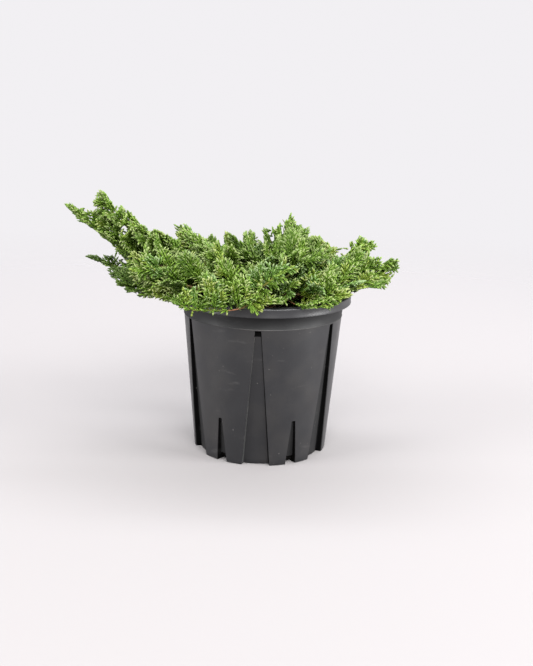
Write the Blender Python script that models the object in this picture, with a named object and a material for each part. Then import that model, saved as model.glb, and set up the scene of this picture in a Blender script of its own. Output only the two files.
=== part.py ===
"""A creeping conifer in a slit nursery pot.

The pot is a tapered plastic shell with six long and six short recessed panels, and drain slots at the
feet of the short ones. Potting mix fills it. A short trunk stands on the mix, bare boughs leave the trunk,
and each bough carries one plume: a stem with toothed sprays of scale leaves.

Metres, +Z up. The origin is the centre of the pot's flat underside, and the photograph looks along +Y.
"""

import math
import random

import bmesh
import bpy
import numpy as np
from mathutils import Vector
from mathutils.bvhtree import BVHTree

# The pot
POT_HEIGHT = 0.1655
RIM_RADIUS = 0.090
SKIRT_HEIGHT = 0.0088
SKIRT_WALL = 0.0017
NECK_RADIUS = 0.0823
BASE_RADIUS = 0.0693
WALL = 0.0018
FLOOR = 0.0022
SECTORS = 6
FIRST_PANEL_ANGLE = math.radians(-92.7)

# The long recessed panels, wide and deep at the foot
LONG_TOP = 0.1415
LONG_WIDTHS = (0.0270, 0.0050)
LONG_DEPTHS = (0.0055, 0.0026)

# The short recessed panels between them, with a drain slot at the foot
SHORT_TOP = 0.0465
SHORT_WIDTHS = (0.0105, 0.0026)
SHORT_DEPTHS = (0.0052, 0.0026)
DRAFT = 0.0007
LEDGE = 0.0006
SLOT_WIDTH = 0.0080
SLOT_HEIGHT = 0.0064
SLOT_REACH = (0.046, 0.080)

# The potting mix and the trunk on it
GAP = 0.0003
MIX_GAP = 0.0006
SOIL_TOP = 0.1450
SOIL_CROWN = 0.0025
TRUNK_FOOT = SOIL_TOP + SOIL_CROWN + GAP
TRUNK_RINGS = (
    # height over the mix, radius: a flared foot, a slow taper and a blunt top
    (0.0, 0.0125),
    (0.002, 0.0100),
    (0.007, 0.0086),
    (0.016, 0.0078),
    (0.024, 0.0068),
    (0.027, 0.0050),
)
TRUNK_LEAN = Vector((-0.10, -0.05))
TRUNK_SIDES = 12
ROOT_FLARE = 0.12

# The boughs: radii at the trunk and where the plume starts, and how high each level leaves the trunk
BOUGH_RADII = (0.0024, 0.0017)
PLUME_RADII = (0.0015, 0.0006)
LEVELS = (0.0050, 0.0120, 0.0190)
BOUGH_LENGTH = 0.026
BOUGH_STEPS = 3
BOUGH_SIDES = 6
FIRST_TRY = 0.0050
SEAT_STEPS = 8
STEM_SIDES = 4

# The sprays: how far apart they leave a plume's stem, how long they are, and how high each in turn is lifted
SPRAY_STEP = 0.0080
SPRAY_LENGTH = 0.047
SPRAY_SINK = 0.0006
LONG_SPRAY = 0.033
SPRAY_FORWARD = 41
SPRAY_ROLL = 34
UPRIGHT = 50
UPRIGHT_SHARE = 0.86
SPRAY_LIFTS = ((-30, 5), (15, 45), (50, 85), (0, 30))
TIP_SPRAY = 0.030
CELL_MARGIN = 0.0018
LIMB_MARGIN = 0.0012
POT_MARGIN = 0.0012
SPRAY_TRIES = (1.0, 0.86, 0.74, 0.62, 0.52, 0.42)
SHORTEST_SPRAY = 0.013
SEED = 41

# One row a bough: name, level on the trunk, the compass angle and the climb it starts at (degrees, with 0
# along +X, anticlockwise), its tip's compass angle, distance from the axis and height, and the compass angle
# and climb it has there.
BOUGHS = (
    ("left_long", 1, 180, 14, 174, 0.209, 0.246, 178, 44),
    ("left_upright", 2, 180, 24, 177, 0.171, 0.263, 172, 64),
    ("left_low", 0, 160, 22, 165, 0.198, 0.184, 176, 20),
    ("left_front", 0, 200, 26, 194, 0.158, 0.176, 184, 12),
    ("front_left", 1, 228, 12, 206, 0.140, 0.206, 188, 42),
    ("rim_front", 0, 249, 20, 234, 0.122, 0.170, 212, -4),
    ("front", 1, 269, 22, 262, 0.110, 0.174, 246, 0),
    ("front_right", 0, 286, 28, 290, 0.090, 0.203, 330, 34),
    ("right_front", 1, 307, 20, 314, 0.116, 0.177, 334, 6),
    ("right_low", 0, 328, 22, 346, 0.124, 0.181, 4, 12),
    ("right_long", 1, 347, 16, 0, 0.138, 0.203, 6, 36),
    ("right_back", 1, 25, 28, 16, 0.120, 0.215, 8, 42),
    ("back_right", 0, 42, 26, 44, 0.130, 0.188, 36, 12),
    ("back", 1, 70, 28, 72, 0.132, 0.200, 80, 18),
    ("back_left", 0, 98, 26, 102, 0.138, 0.190, 110, 10),
    ("left_back", 1, 126, 26, 134, 0.152, 0.198, 146, 14),
    ("rise_left", 2, 143, 36, 160, 0.098, 0.226, 170, 48),
    ("rise_back_left", 2, 105, 50, 116, 0.064, 0.220, 120, 56),
    ("rise_back", 2, 67, 56, 56, 0.048, 0.239, 40, 66),
    ("rise_right", 2, 30, 38, 36, 0.104, 0.207, 30, 30),
    ("rise_front_right", 2, 324, 42, 324, 0.070, 0.212, 334, 38),
    ("rise_front", 2, 272, 48, 276, 0.046, 0.205, 290, 30),
    ("rise_front_left", 2, 220, 42, 218, 0.072, 0.207, 205, 30),
)


def clear_the_scene():
    for obj in list(bpy.data.objects):
        bpy.data.objects.remove(obj)


def make_material(name, colour, roughness):
    material = bpy.data.materials.new(name)
    material.use_nodes = True
    shader = material.node_tree.nodes["Principled BSDF"]
    shader.inputs["Base Color"].default_value = (*colour, 1.0)
    shader.inputs["Roughness"].default_value = roughness
    shader.inputs["Metallic"].default_value = 0.0
    return material


def add_object(name, mesh, material):
    obj = bpy.data.objects.new(name, mesh)
    bpy.context.scene.collection.objects.link(obj)
    mesh.materials.clear()
    mesh.materials.append(material)
    return obj


def mesh_of(name, points, faces):
    mesh = bpy.data.meshes.new(name)
    mesh.from_pydata([tuple(p) for p in points], [], faces)
    mesh.validate()
    return mesh


def mix(pair, share):
    """The value that lies that share of the way from the first of the pair to the second."""
    return pair[0] + (pair[1] - pair[0]) * share


# The pot's shape

def wall_radius(z):
    return mix((BASE_RADIUS, NECK_RADIUS), z / (POT_HEIGHT - SKIRT_HEIGHT))


def panel_shape(z, top, widths, depths, ledge):
    """Half the width of a recessed panel at height z, and its depth, which ends at a ledge above the top."""
    share = min(z / top, 1.0)
    return mix(widths, share) / 2, 0.0 if z > top + ledge / 2 else mix(depths, share)


def wall_ring(z, offset=0.0, section_z=None):
    """The wall's points round the pot at height z, moved inwards by offset with its panels that much wider.
    The section is read at section_z, which tells a ring just above a ledge from the one just below it."""
    at = z if section_z is None else section_z
    radius = wall_radius(at)
    long_half, long_depth = panel_shape(at, LONG_TOP + offset, LONG_WIDTHS, LONG_DEPTHS, LEDGE)
    short_half, short_depth = panel_shape(at, SHORT_TOP + offset, SHORT_WIDTHS, SHORT_DEPTHS, LEDGE)
    sector = math.tau / SECTORS
    long_edge = (long_half + offset) / radius
    long_rim = (long_half + offset + DRAFT) / radius
    short_edge = sector / 2 - (short_half + offset) / radius
    short_rim = sector / 2 - (short_half + offset + DRAFT) / radius
    half = [(long_edge, long_depth), (long_rim, 0.0)]
    half += [(mix((long_rim, short_rim), share), 0.0) for share in (1 / 3, 2 / 3)]
    half += [(short_rim, 0.0), (short_edge, short_depth)]
    columns = [(-angle, depth) for angle, depth in reversed(half)] + half
    points = []
    for index in range(SECTORS):
        middle = FIRST_PANEL_ANGLE + index * sector
        for angle, depth in columns:
            reach = radius - offset - depth
            turn = middle + angle
            points.append((reach * math.cos(turn), reach * math.sin(turn), z))
    return points


def round_ring(radius, z, like):
    """A round ring with its points at the angles of the ring it is like."""
    turns = [math.atan2(y, x) for x, y, _ in like]
    return [(radius * math.cos(turn), radius * math.sin(turn), z) for turn in turns]


def skin_of(rings):
    """Points and faces of a stack of rings, listed so that the faces point out, with a fan as each cap."""
    count = len(rings[0])
    points = [p for ring in rings for p in ring]
    faces = []
    for level in range(len(rings) - 1):
        low, high = level * count, (level + 1) * count
        for i in range(count):
            j = (i + 1) % count
            faces.append((low + i, low + j, high + j, high + i))
    for ring, first in ((rings[0], 0), (rings[-1], (len(rings) - 1) * count)):
        middle = len(points)
        points.append(tuple(sum(p[axis] for p in ring) / count for axis in range(3)))
        for i in range(count):
            j = (i + 1) % count
            face = (first + j, first + i, middle) if first == 0 else (first + i, first + j, middle)
            faces.append(face)
    return points, faces


def pot_mesh():
    skirt_foot = POT_HEIGHT - SKIRT_HEIGHT
    like = wall_ring(skirt_foot)
    under_rim = POT_HEIGHT - WALL
    outside = [
        wall_ring(0.0),
        wall_ring(SHORT_TOP, section_z=SHORT_TOP - LEDGE),
        wall_ring(SHORT_TOP + LEDGE),
        wall_ring(LONG_TOP, section_z=LONG_TOP - LEDGE),
        wall_ring(LONG_TOP + LEDGE),
        wall_ring(under_rim),
        round_ring(RIM_RADIUS - SKIRT_WALL, under_rim, like),
        round_ring(RIM_RADIUS - SKIRT_WALL, skirt_foot, like),
        round_ring(RIM_RADIUS, skirt_foot, like),
        round_ring(RIM_RADIUS, POT_HEIGHT, like),
    ]
    long_inside, short_inside = LONG_TOP + WALL, SHORT_TOP + WALL
    inside = [
        wall_ring(POT_HEIGHT, WALL),
        wall_ring(long_inside + LEDGE, WALL),
        wall_ring(long_inside, WALL, section_z=long_inside - LEDGE),
        wall_ring(short_inside + LEDGE, WALL),
        wall_ring(short_inside, WALL, section_z=short_inside - LEDGE),
        wall_ring(FLOOR, WALL),
    ]
    return mesh_of("pot", *skin_of(outside + inside))


def slot_cutter(index):
    """A block through the wall and the floor's edge at the foot of one short panel."""
    turn = FIRST_PANEL_ANGLE + (index + 0.5) * math.tau / SECTORS
    low, high = SLOT_REACH
    mesh = bpy.data.meshes.new("drain_slot")
    shape = bmesh.new()
    bmesh.ops.create_cube(shape, size=1.0)
    for vertex in shape.verts:
        x = (low + high) / 2 + vertex.co.x * (high - low)
        y = vertex.co.y * SLOT_WIDTH
        z = (vertex.co.z + 0.5) * (SLOT_HEIGHT + FLOOR) - FLOOR
        vertex.co = (x * math.cos(turn) - y * math.sin(turn), x * math.sin(turn) + y * math.cos(turn), z)
    shape.to_mesh(mesh)
    shape.free()
    cutter = bpy.data.objects.new("drain_slot", mesh)
    cutter.hide_render = True
    cutter.display_type = "WIRE"
    return cutter


def combine(obj, others, operation):
    """Applies one Boolean of obj with the other objects, which are then removed."""
    if not others:
        return
    helpers = bpy.data.collections.new("helpers")
    bpy.context.scene.collection.children.link(helpers)
    for other in others:
        helpers.objects.link(other)
    boolean = obj.modifiers.new("boolean", "BOOLEAN")
    boolean.operand_type = "COLLECTION"
    boolean.collection = helpers
    boolean.operation = operation
    boolean.solver = "EXACT"
    bpy.context.view_layer.update()
    graph = bpy.context.evaluated_depsgraph_get()
    made = bpy.data.meshes.new_from_object(obj.evaluated_get(graph))
    obj.modifiers.clear()
    made.name = obj.name
    obj.data = made
    for other in others:
        bpy.data.objects.remove(other)
    bpy.data.collections.remove(helpers)


def make_pot(material):
    pot = add_object("pot", pot_mesh(), material)
    combine(pot, [slot_cutter(index) for index in range(SECTORS)], "DIFFERENCE")
    return pot


def make_soil(material):
    offset = WALL + MIX_GAP
    short_inside = SHORT_TOP + offset
    rings = [
        wall_ring(FLOOR + GAP, offset),
        wall_ring(short_inside, offset, section_z=short_inside - LEDGE),
        wall_ring(short_inside + LEDGE, offset),
        wall_ring(SOIL_TOP, offset, section_z=LONG_TOP),
    ]
    crown = SOIL_TOP + SOIL_CROWN
    rings.append(round_ring(0.6 * NECK_RADIUS, crown, rings[-1]))
    return add_object("potting_mix", mesh_of("potting_mix", *skin_of(rings)), material)


# The limbs

def trunk_at(height):
    """The trunk's centre line and radius, that far above its foot."""
    radius = float(np.interp(height, *zip(*TRUNK_RINGS)))
    return Vector((TRUNK_LEAN.x * height, TRUNK_LEAN.y * height, TRUNK_FOOT + height)), radius


def make_trunk(material):
    rings = []
    for height, radius in TRUNK_RINGS:
        centre, _ = trunk_at(height)
        ring = []
        for i in range(TRUNK_SIDES):
            turn = math.tau * i / TRUNK_SIDES
            flare = 1 + ROOT_FLARE * math.cos(3 * turn + 0.5) * (radius / TRUNK_RINGS[0][1]) ** 3
            out = radius * flare
            ring.append((centre.x + out * math.cos(turn), centre.y + out * math.sin(turn), centre.z))
        rings.append(ring)
    return add_object("trunk", mesh_of("trunk", *skin_of(rings)), material)


def direction(compass, climb):
    """The unit vector with that compass angle and that climb, both in degrees."""
    turn, rise = math.radians(compass), math.radians(climb)
    return Vector((math.cos(rise) * math.cos(turn), math.cos(rise) * math.sin(turn), math.sin(rise)))


def bough_line(row, off, steps=64):
    """Points along a whole bough and its plume, from that far off the bark to the tip: a cubic curve."""
    _, level, compass, climb, tip_compass, reach, tip_height, heading, slope = row
    centre, radius = trunk_at(LEVELS[level])
    out = direction(compass, climb)
    flat = direction(compass, 0)
    start = centre + flat * (radius + off)
    tip = direction(tip_compass, 0) * reach
    tip.z = tip_height
    span = (tip - start).length
    leave = start + out * span * 0.38
    arrive = tip - direction(heading, slope) * span * 0.34
    line = []
    for i in range(steps + 1):
        t = i / steps
        u = 1 - t
        line.append(u**3 * start + 3 * u * u * t * leave + 3 * u * t * t * arrive + t**3 * tip)
    return line


def lengths_along(line):
    total = [0.0]
    for a, b in zip(line, line[1:]):
        total.append(total[-1] + (b - a).length)
    return total


def stretch(line, start, end, steps):
    """Evenly spaced points of the line between two distances along it."""
    total = lengths_along(line)
    wanted = np.linspace(start, end, steps + 1)
    columns = [np.interp(wanted, total, [point[axis] for point in line]) for axis in range(3)]
    return [Vector(point) for point in np.array(columns).T]


def tube_rings(line, radii, sides):
    """The rings of a tapering tube along the line, each square to it."""
    rings = []
    up = Vector((0, 0, 1))
    turns = [math.tau * k / sides for k in range(sides)]
    for i, point in enumerate(line):
        ahead = (line[min(i + 1, len(line) - 1)] - line[max(i - 1, 0)]).normalized()
        side = ahead.cross(up).normalized()
        top = side.cross(ahead)
        radius = mix(radii, i / (len(line) - 1))
        round_it = [side * math.cos(turn) + top * math.sin(turn) for turn in turns]
        rings.append([tuple(point + radius * out) for out in round_it])
    return rings


def tube_mesh(name, line, radii, sides):
    """A closed tapering tube along the line, with flat ends square to it."""
    points, faces = skin_of(tube_rings(line, radii, sides))
    return mesh_of(name, points, [tuple(reversed(face)) for face in faces])


def seated_line(row, bark):
    """A bough's line that starts where the bough's first ring lies one gap off the trunk's bark."""
    off = FIRST_TRY
    for _ in range(SEAT_STEPS):
        bare = stretch(bough_line(row, off), 0.0, BOUGH_LENGTH, BOUGH_STEPS)
        ring = [Vector(point) for point in tube_rings(bare, BOUGH_RADII, BOUGH_SIDES)[0]]
        ring += [(a + b) / 2 for a, b in zip(ring, ring[1:] + ring[:1])]
        off -= min(bark.find_nearest(point)[3] for point in ring) - GAP
    return bough_line(row, off)


# The sprays and the spaces they keep to

class Spaces:
    """Tells whether a spray keeps to its own plume's space: nearer to its own bough's line than to any other,
    and clear of every limb, of the pot and of the potting mix."""

    STEP = 0.0015

    def __init__(self, lines, trunk_points):
        self.points = []
        for line in lines:
            count = int(lengths_along(line)[-1] / self.STEP)
            self.points.append(np.array(stretch(line, 0.0, lengths_along(line)[-1], count)))
        self.trunk = np.array(trunk_points)

    @staticmethod
    def nearest(samples, points):
        return np.linalg.norm(samples[:, None, :] - points[None, :, :], axis=2).min(axis=1)

    def allow(self, owner, samples):
        samples = np.array(samples)
        own = self.nearest(samples, self.points[owner])
        for index, points in enumerate(self.points):
            if index == owner:
                continue
            away = self.nearest(samples, points)
            if (own + CELL_MARGIN > away).any() or (away < BOUGH_RADII[0] + LIMB_MARGIN).any():
                return False
        trunk_radius = TRUNK_RINGS[2][1]
        if (self.nearest(samples, self.trunk) < trunk_radius + LIMB_MARGIN).any():
            return False
        reach = np.hypot(samples[:, 0], samples[:, 1])
        height = samples[:, 2]
        inside = NECK_RADIUS - WALL - POT_MARGIN
        in_pot = (reach < RIM_RADIUS + POT_MARGIN) & (reach > inside) & (height < POT_HEIGHT + POT_MARGIN)
        in_soil = (reach <= inside) & (height < SOIL_TOP + SOIL_CROWN + POT_MARGIN)
        return not (in_pot | in_soil).any()


TEETH = (
    # along the rib, half the rib's width there, then how far out and along the tooth that starts there ends
    (0.13, 0.060, 0.285, 0.46),
    (0.36, 0.058, 0.285, 0.68),
    (0.58, 0.050, 0.200, 0.86),
    (0.77, 0.038, 0.0, 1.0),
)


def spray_shape(root, ahead, flat, length, teeth):
    """A toothed blade: its points and its faces. It has a rib that starts as a point inside the stem, and
    teeth that thin to a point on both sides, and it lies in the plane of the directions ahead and flat."""
    normal = ahead.cross(flat).normalized()
    thick = max(0.0010, 0.036 * length)

    def corner(along, out, up):
        return root + ahead * (along * length) + flat * (out * length) + normal * (up * thick / 2)

    points = [root - ahead * SPRAY_SINK]
    faces = []
    for index, (along, half, out, tip_along) in enumerate(teeth):
        b = len(points)
        points += [corner(along, x, up) for x, up in ((-half, -1), (half, -1), (half, 1), (-half, 1))]
        if index == 0:
            faces += [(0, b + 1, b), (0, b + 2, b + 1), (0, b + 3, b + 2), (0, b, b + 3)]
        else:
            faces += [(a, a + 1, b + 1, b), (a + 3, b + 3, b + 2, a + 2)]
            for tip, edge in ((right, (a + 1, a + 2, b + 2, b + 1)), (left, (a + 3, a, b, b + 3))):
                faces += [(edge[i], edge[(i + 1) % 4], tip) for i in range(4)]
        if out > 0:
            right, left = len(points), len(points) + 1
            points += [corner(tip_along, out, 0), corner(tip_along, -out, 0)]
        else:
            end = len(points)
            points.append(corner(tip_along, 0, 0))
            faces += [(b, b + 1, end), (b + 1, b + 2, end), (b + 2, b + 3, end), (b + 3, b, end)]
        a = b
    return points, faces


def spray_samples(root, ahead, flat, length):
    """Points over a spray, with enough of them that a limb or a border can't pass between."""
    samples = []
    for along in np.linspace(0.16, 1.0, 16):
        wide = 0.29 * min(1.0, max(0.0, 1.5 * (1.0 - along))) if along > 0.3 else 0.10
        for out in np.linspace(-wide, wide, 7):
            samples.append(root + ahead * (along * length) + flat * (out * length))
    return samples


def turned(flat, ahead, angle):
    """The direction flat, turned by degrees about the direction ahead that it is square to."""
    turn = math.radians(angle)
    return (flat * math.cos(turn) + ahead.cross(flat) * math.sin(turn)).normalized()


def spray_roots(line, rng):
    """Where the sprays leave a plume's stem: root, direction, flat direction and full length of each, with
    the one at the tip last. They alternate sides, are lifted in turn, and get shorter towards the tip."""
    whole = lengths_along(line)[-1]
    first = BOUGH_LENGTH + 0.003
    last = whole - 0.6 * TIP_SPRAY
    count = max(3, round((last - first) / SPRAY_STEP))
    found = []
    for k in range(count):
        share = (k + 0.5 * rng.random()) / count
        at = mix((first, last), share)
        here, beyond = stretch(line, at, at + 0.002, 1)
        ahead = (beyond - here).normalized()
        side = ahead.cross(Vector((0, 0, 1))).normalized()
        hand = 1 if k % 2 else -1
        lift = rng.uniform(*SPRAY_LIFTS[k % len(SPRAY_LIFTS)])
        out = turned(side * hand, ahead, -hand * lift)
        forward = math.radians(SPRAY_FORWARD + rng.uniform(-7, 7))
        heading = (ahead * math.cos(forward) + out * math.sin(forward)).normalized()
        level = heading.cross(ahead.cross(out)).normalized()
        flat = turned(level, heading, rng.uniform(-SPRAY_ROLL, SPRAY_ROLL))
        taper = (0.55 + 0.60 * math.sin(math.pi * (0.25 + 0.75 * share))) * (1 - 0.25 * share)
        if lift > UPRIGHT:
            taper *= UPRIGHT_SHARE
        found.append((here, heading, flat, SPRAY_LENGTH * taper * rng.uniform(0.9, 1.1)))
    here, beyond = stretch(line, max(whole - TIP_SPRAY, first), whole, 1)
    ahead = (beyond - here).normalized()
    flat = turned(ahead.cross(Vector((0, 0, 1))).normalized(), ahead, rng.uniform(20, 70))
    found.append((here, ahead, flat, (beyond - here).length))
    return found


def make_plume(index, name, line, spaces, material):
    """One plume: its stem, with every spray that keeps to the plume's space fused on."""
    rng = random.Random(SEED + index)
    whole = lengths_along(line)[-1]
    steps = max(4, round((whole - BOUGH_LENGTH) / 0.022))
    stem_line = stretch(line, BOUGH_LENGTH + GAP, whole - 0.6 * TIP_SPRAY, steps)
    plume = add_object("plume_" + name, tube_mesh(name, stem_line, PLUME_RADII, STEM_SIDES), material)
    sprays = []
    for root, ahead, flat, full in spray_roots(line, rng):
        for share in SPRAY_TRIES:
            length = full * share
            if length < SHORTEST_SPRAY:
                break
            if spaces.allow(index, spray_samples(root, ahead, flat, length)):
                teeth = TEETH if length > LONG_SPRAY else TEETH[:1] + TEETH[2:]
                mesh = mesh_of("spray", *spray_shape(root, ahead, flat, length, teeth))
                sprays.append(bpy.data.objects.new("spray", mesh))
                break
    combine(plume, sprays, "UNION")
    return plume


def main():
    clear_the_scene()
    plastic = make_material("black_plastic", (0.055, 0.054, 0.056), 0.42)
    mix_brown = make_material("potting_mix", (0.045, 0.030, 0.020), 0.95)
    bark = make_material("bark", (0.200, 0.105, 0.055), 0.85)
    leaf = make_material("scale_leaf", (0.130, 0.235, 0.050), 0.55)
    make_pot(plastic)
    make_soil(mix_brown)
    trunk = make_trunk(bark)
    corners = [vertex.co for vertex in trunk.data.vertices]
    trunk_tree = BVHTree.FromPolygons(corners, [face.vertices for face in trunk.data.polygons])
    lines = [seated_line(row, trunk_tree) for row in BOUGHS]
    trunk_top = TRUNK_RINGS[-1][0]
    trunk_points = [trunk_at(height)[0] for height in np.linspace(0, trunk_top, 20)]
    spaces = Spaces(lines, trunk_points)
    for index, (row, line) in enumerate(zip(BOUGHS, lines)):
        bare = stretch(line, 0.0, BOUGH_LENGTH, BOUGH_STEPS)
        add_object("bough_" + row[0], tube_mesh(row[0], bare, BOUGH_RADII, BOUGH_SIDES), bark)
        make_plume(index, row[0], line, spaces, leaf)


main()
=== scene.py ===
"""Looks of the potted creeping conifer.

A fine pot shell, crumbly potting mix, limbs with bark relief, and flat sprays of scale leaves that grow on
from the limbs by the source's rule, carried to finer twigs. Metres, +Z up; the photograph looks along +Y.
"""

import math
import random

import bmesh
import bpy
import numpy as np
from mathutils import Matrix, Vector


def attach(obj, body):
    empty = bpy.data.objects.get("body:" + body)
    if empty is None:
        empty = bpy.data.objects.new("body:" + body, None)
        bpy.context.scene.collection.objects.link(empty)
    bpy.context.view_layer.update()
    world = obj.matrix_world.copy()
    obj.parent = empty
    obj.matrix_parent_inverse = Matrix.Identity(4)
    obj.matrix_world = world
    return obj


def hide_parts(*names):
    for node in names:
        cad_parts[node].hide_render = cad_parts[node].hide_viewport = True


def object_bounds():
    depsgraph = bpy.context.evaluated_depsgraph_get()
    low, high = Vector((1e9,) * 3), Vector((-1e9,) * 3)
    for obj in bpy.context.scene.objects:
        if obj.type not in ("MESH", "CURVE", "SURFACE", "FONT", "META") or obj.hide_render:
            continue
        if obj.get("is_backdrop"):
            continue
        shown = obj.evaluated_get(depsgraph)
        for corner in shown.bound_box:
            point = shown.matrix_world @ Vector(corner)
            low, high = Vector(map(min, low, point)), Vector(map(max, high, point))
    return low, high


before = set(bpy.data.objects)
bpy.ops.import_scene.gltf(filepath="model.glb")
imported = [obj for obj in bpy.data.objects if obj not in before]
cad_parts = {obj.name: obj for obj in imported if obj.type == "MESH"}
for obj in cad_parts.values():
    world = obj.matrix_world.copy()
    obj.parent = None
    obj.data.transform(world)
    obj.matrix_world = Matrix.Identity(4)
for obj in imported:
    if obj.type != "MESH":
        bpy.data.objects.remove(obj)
cad_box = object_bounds()

# The photograph's view
TARGET = Vector((0.0042, 0.0, 0.1197))
DISTANCE = 0.962
ELEVATION = math.radians(14.5)
ROLL = math.radians(1.62)
LENS = 50
SENSOR = 36
PICTURE = (533, 666)

# The stage: a floor that fades out from the first distance to the second, the world, and the lights
FLOOR_REACH = 3.0
FLOOR_FADE = (0.6, 1.7)
FLOOR_COLOUR = (122, 119.5, 119.5)
WORLD_COLOUR = (244, 242, 245)
WORLD_STRENGTH = 0.98
LIGHTS = (
    # name, place, aim, size, power, and its colour where it isn't white
    ("key", (0.25, -1.45, 1.45), (0, 0, 0.15), (1.4, 1.0), 85),
    ("right_box", (1.5, -0.5, 0.6), (0, 0, 0.10), (0.7, 1.2), 62),
    ("left_box", (-1.4, -0.6, 0.7), (0, 0, 0.10), (0.7, 1.2), 40),
    ("backdrop", (0.0, 1.0, 2.2), (0, 2.3, 0.42), (4.0, 1.0), 238, (0.95, 0.966, 1.0)),
)

# The crown's outline from the front, as places in the picture, and the sky that shows between its boughs
OUTLINE = (
    (65, 204), (73, 203), (77, 210), (79, 207), (84, 210), (90, 216), (86, 208), (94, 212), (95, 207),
    (93, 202), (96, 196), (99, 188), (103, 191), (107, 196), (109, 200), (113, 203), (112, 210), (117, 206),
    (122, 205), (126, 210), (131, 212), (136, 218), (138, 224), (145, 225), (144, 230), (150, 232),
    (158, 228), (163, 233), (170, 235), (175.5, 240), (177.5, 240), (175.7, 233), (172.5, 223), (178, 227),
    (183, 223), (190, 227), (193, 233), (200, 234), (204, 238), (208, 238), (211, 232), (218, 238),
    (221, 248), (226, 243), (223, 230), (231, 234), (236, 237), (238, 248), (240, 240), (244, 244),
    (243, 231), (248, 229), (253, 230), (259, 238), (261, 246), (265, 243), (262, 228), (267, 226),
    (269, 235), (269, 244), (274, 244), (276, 240), (271, 225), (276, 229), (280, 221), (281, 230),
    (282, 237), (286, 230), (286, 224), (281, 216), (288, 220), (291, 213), (295, 219), (298, 228),
    (301, 224), (303, 230), (309, 227), (310, 237), (320, 236), (323, 240), (330, 243), (331, 247),
    (345, 248), (338, 252), (330, 254), (335, 253), (339, 258), (345, 255), (350, 252), (351, 246),
    (349, 240), (354, 243), (360, 236), (368, 240), (374, 241), (380, 246), (374, 250), (370, 254),
    (363, 257), (372, 257), (382, 257), (381, 266), (390, 258), (400, 259), (400, 268), (397, 273),
    (391, 276), (391, 285), (385, 289), (377, 288.5), (370, 287), (362, 288), (354, 293), (350, 297),
    (343, 299), (338, 304), (332, 310), (318, 310), (300, 309), (288, 305), (280, 304), (268, 305),
    (265, 309), (263, 312), (256, 316), (250, 312), (246, 309), (236, 310), (228, 315), (220, 313),
    (214, 315), (205, 312), (197, 312), (191, 317), (188, 311), (182, 309), (176, 305), (170, 302),
    (160, 300), (155, 297), (146, 298), (136, 296), (134, 292), (126, 292), (121, 288), (116, 284),
    (115, 280), (110, 275), (107, 272), (108, 269), (105, 266), (99, 261), (92, 259), (84, 257), (90, 254),
    (100, 256), (105, 255), (113, 254), (120, 259), (124, 266), (127, 266), (127, 261), (123, 257),
    (117, 253), (110, 247), (116, 248), (110, 243), (106, 239), (102, 237), (98, 232), (92, 228), (86, 223),
    (79, 222), (75, 215), (69, 210),
)
SKY_GAPS = (
    # place in the picture, half width, half height
    (90.8, 215.5, 1.9, 4.2), (113.3, 212.5, 1.5, 4.2), (110.5, 228, 2.4, 3.8), (119.5, 218, 2.4, 3),
    (124.5, 229, 3, 6.6), (128, 217.5, 2.2, 3.2), (133, 244, 2, 3.6), (143, 239, 2, 1.9),
    (150, 262, 1.8, 3.4), (176.3, 258.5, 1.2, 1.8), (183, 263, 1.6, 3), (212, 252, 1.8, 1.6),
    (279, 249, 1.3, 1.6), (337, 250.5, 5.5, 1.2),
)

# Where the photograph shows the shaded inside of the crown: gaps in what lies nearer than the depth below
SHADED_GAPS = (
    (189, 284, 5, 5), (222, 275, 4.6, 3.6), (202, 296, 2.5, 7), (228.5, 294, 2.5, 6.5),
    (245, 293, 2.6, 3.2), (288, 276, 4, 3.6), (303, 299, 10, 4.6), (318, 267, 3.6, 5), (338, 279, 3, 4),
    (161, 264, 7, 3.6),
)
FRONT_DEPTH = -0.010

# The pot, as in the source
POT_HEIGHT = 0.1655
RIM_RADIUS = 0.090
SKIRT_HEIGHT = 0.0088
SKIRT_WALL = 0.0017
NECK_RADIUS = 0.0823
BASE_RADIUS = 0.0693
WALL = 0.0018
FLOOR = 0.0022
SECTORS = 6
FIRST_PANEL_ANGLE = math.radians(-92.7)
LONG_TOP = 0.1415
LONG_WIDTHS = (0.0270, 0.0050)
LONG_DEPTHS = (0.0055, 0.0026)
SHORT_TOP = 0.0465
SHORT_WIDTHS = (0.0105, 0.0026)
SHORT_DEPTHS = (0.0052, 0.0026)
DRAFT = 0.0007
LEDGE = 0.0006
SLOT_WIDTH = 0.0092
SLOT_HEIGHT = 0.0074
SLOT_REACH = (0.046, 0.080)

# The pot's finer forms: a fine moulded line over the long panels, the painted shadow in the panels' tops
# and in the far sides of the long panels but the front one, and rounded edges
SEAM_HEIGHT = 0.1429
SEAM_PROUD = 0.00040
SEAM_RINGS = ((-0.0005, 0.0), (-0.0003, 0.9), (0.0, 1.0), (0.0006, 0.0))
PAINTED_SHADOW_HEIGHT = 0.0056
SHADED_SHARE = 0.60
FRONT_TURN = 0.25
FOOT_ROUND = 0.0010
EDGE_ROUND = 0.0006
SKIRT_ROUND = 0.8 * EDGE_ROUND
RIM_ROUND = 0.0011
NECK_ROUND = 0.0008

# How the pot's faces are told apart: how near they are to the seam and to the skirt's foot, how far they
# stand out from the wall, and how much they face outwards or across
SEAM_REACH = 0.0005
SKIRT_REACH = 0.001
SEAM_OUT = 0.0001
SKIRT_OUT = 0.003
PANEL_OUT = -0.0008
FACING_OUT = 0.5
FACING_ACROSS = 0.6

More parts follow.
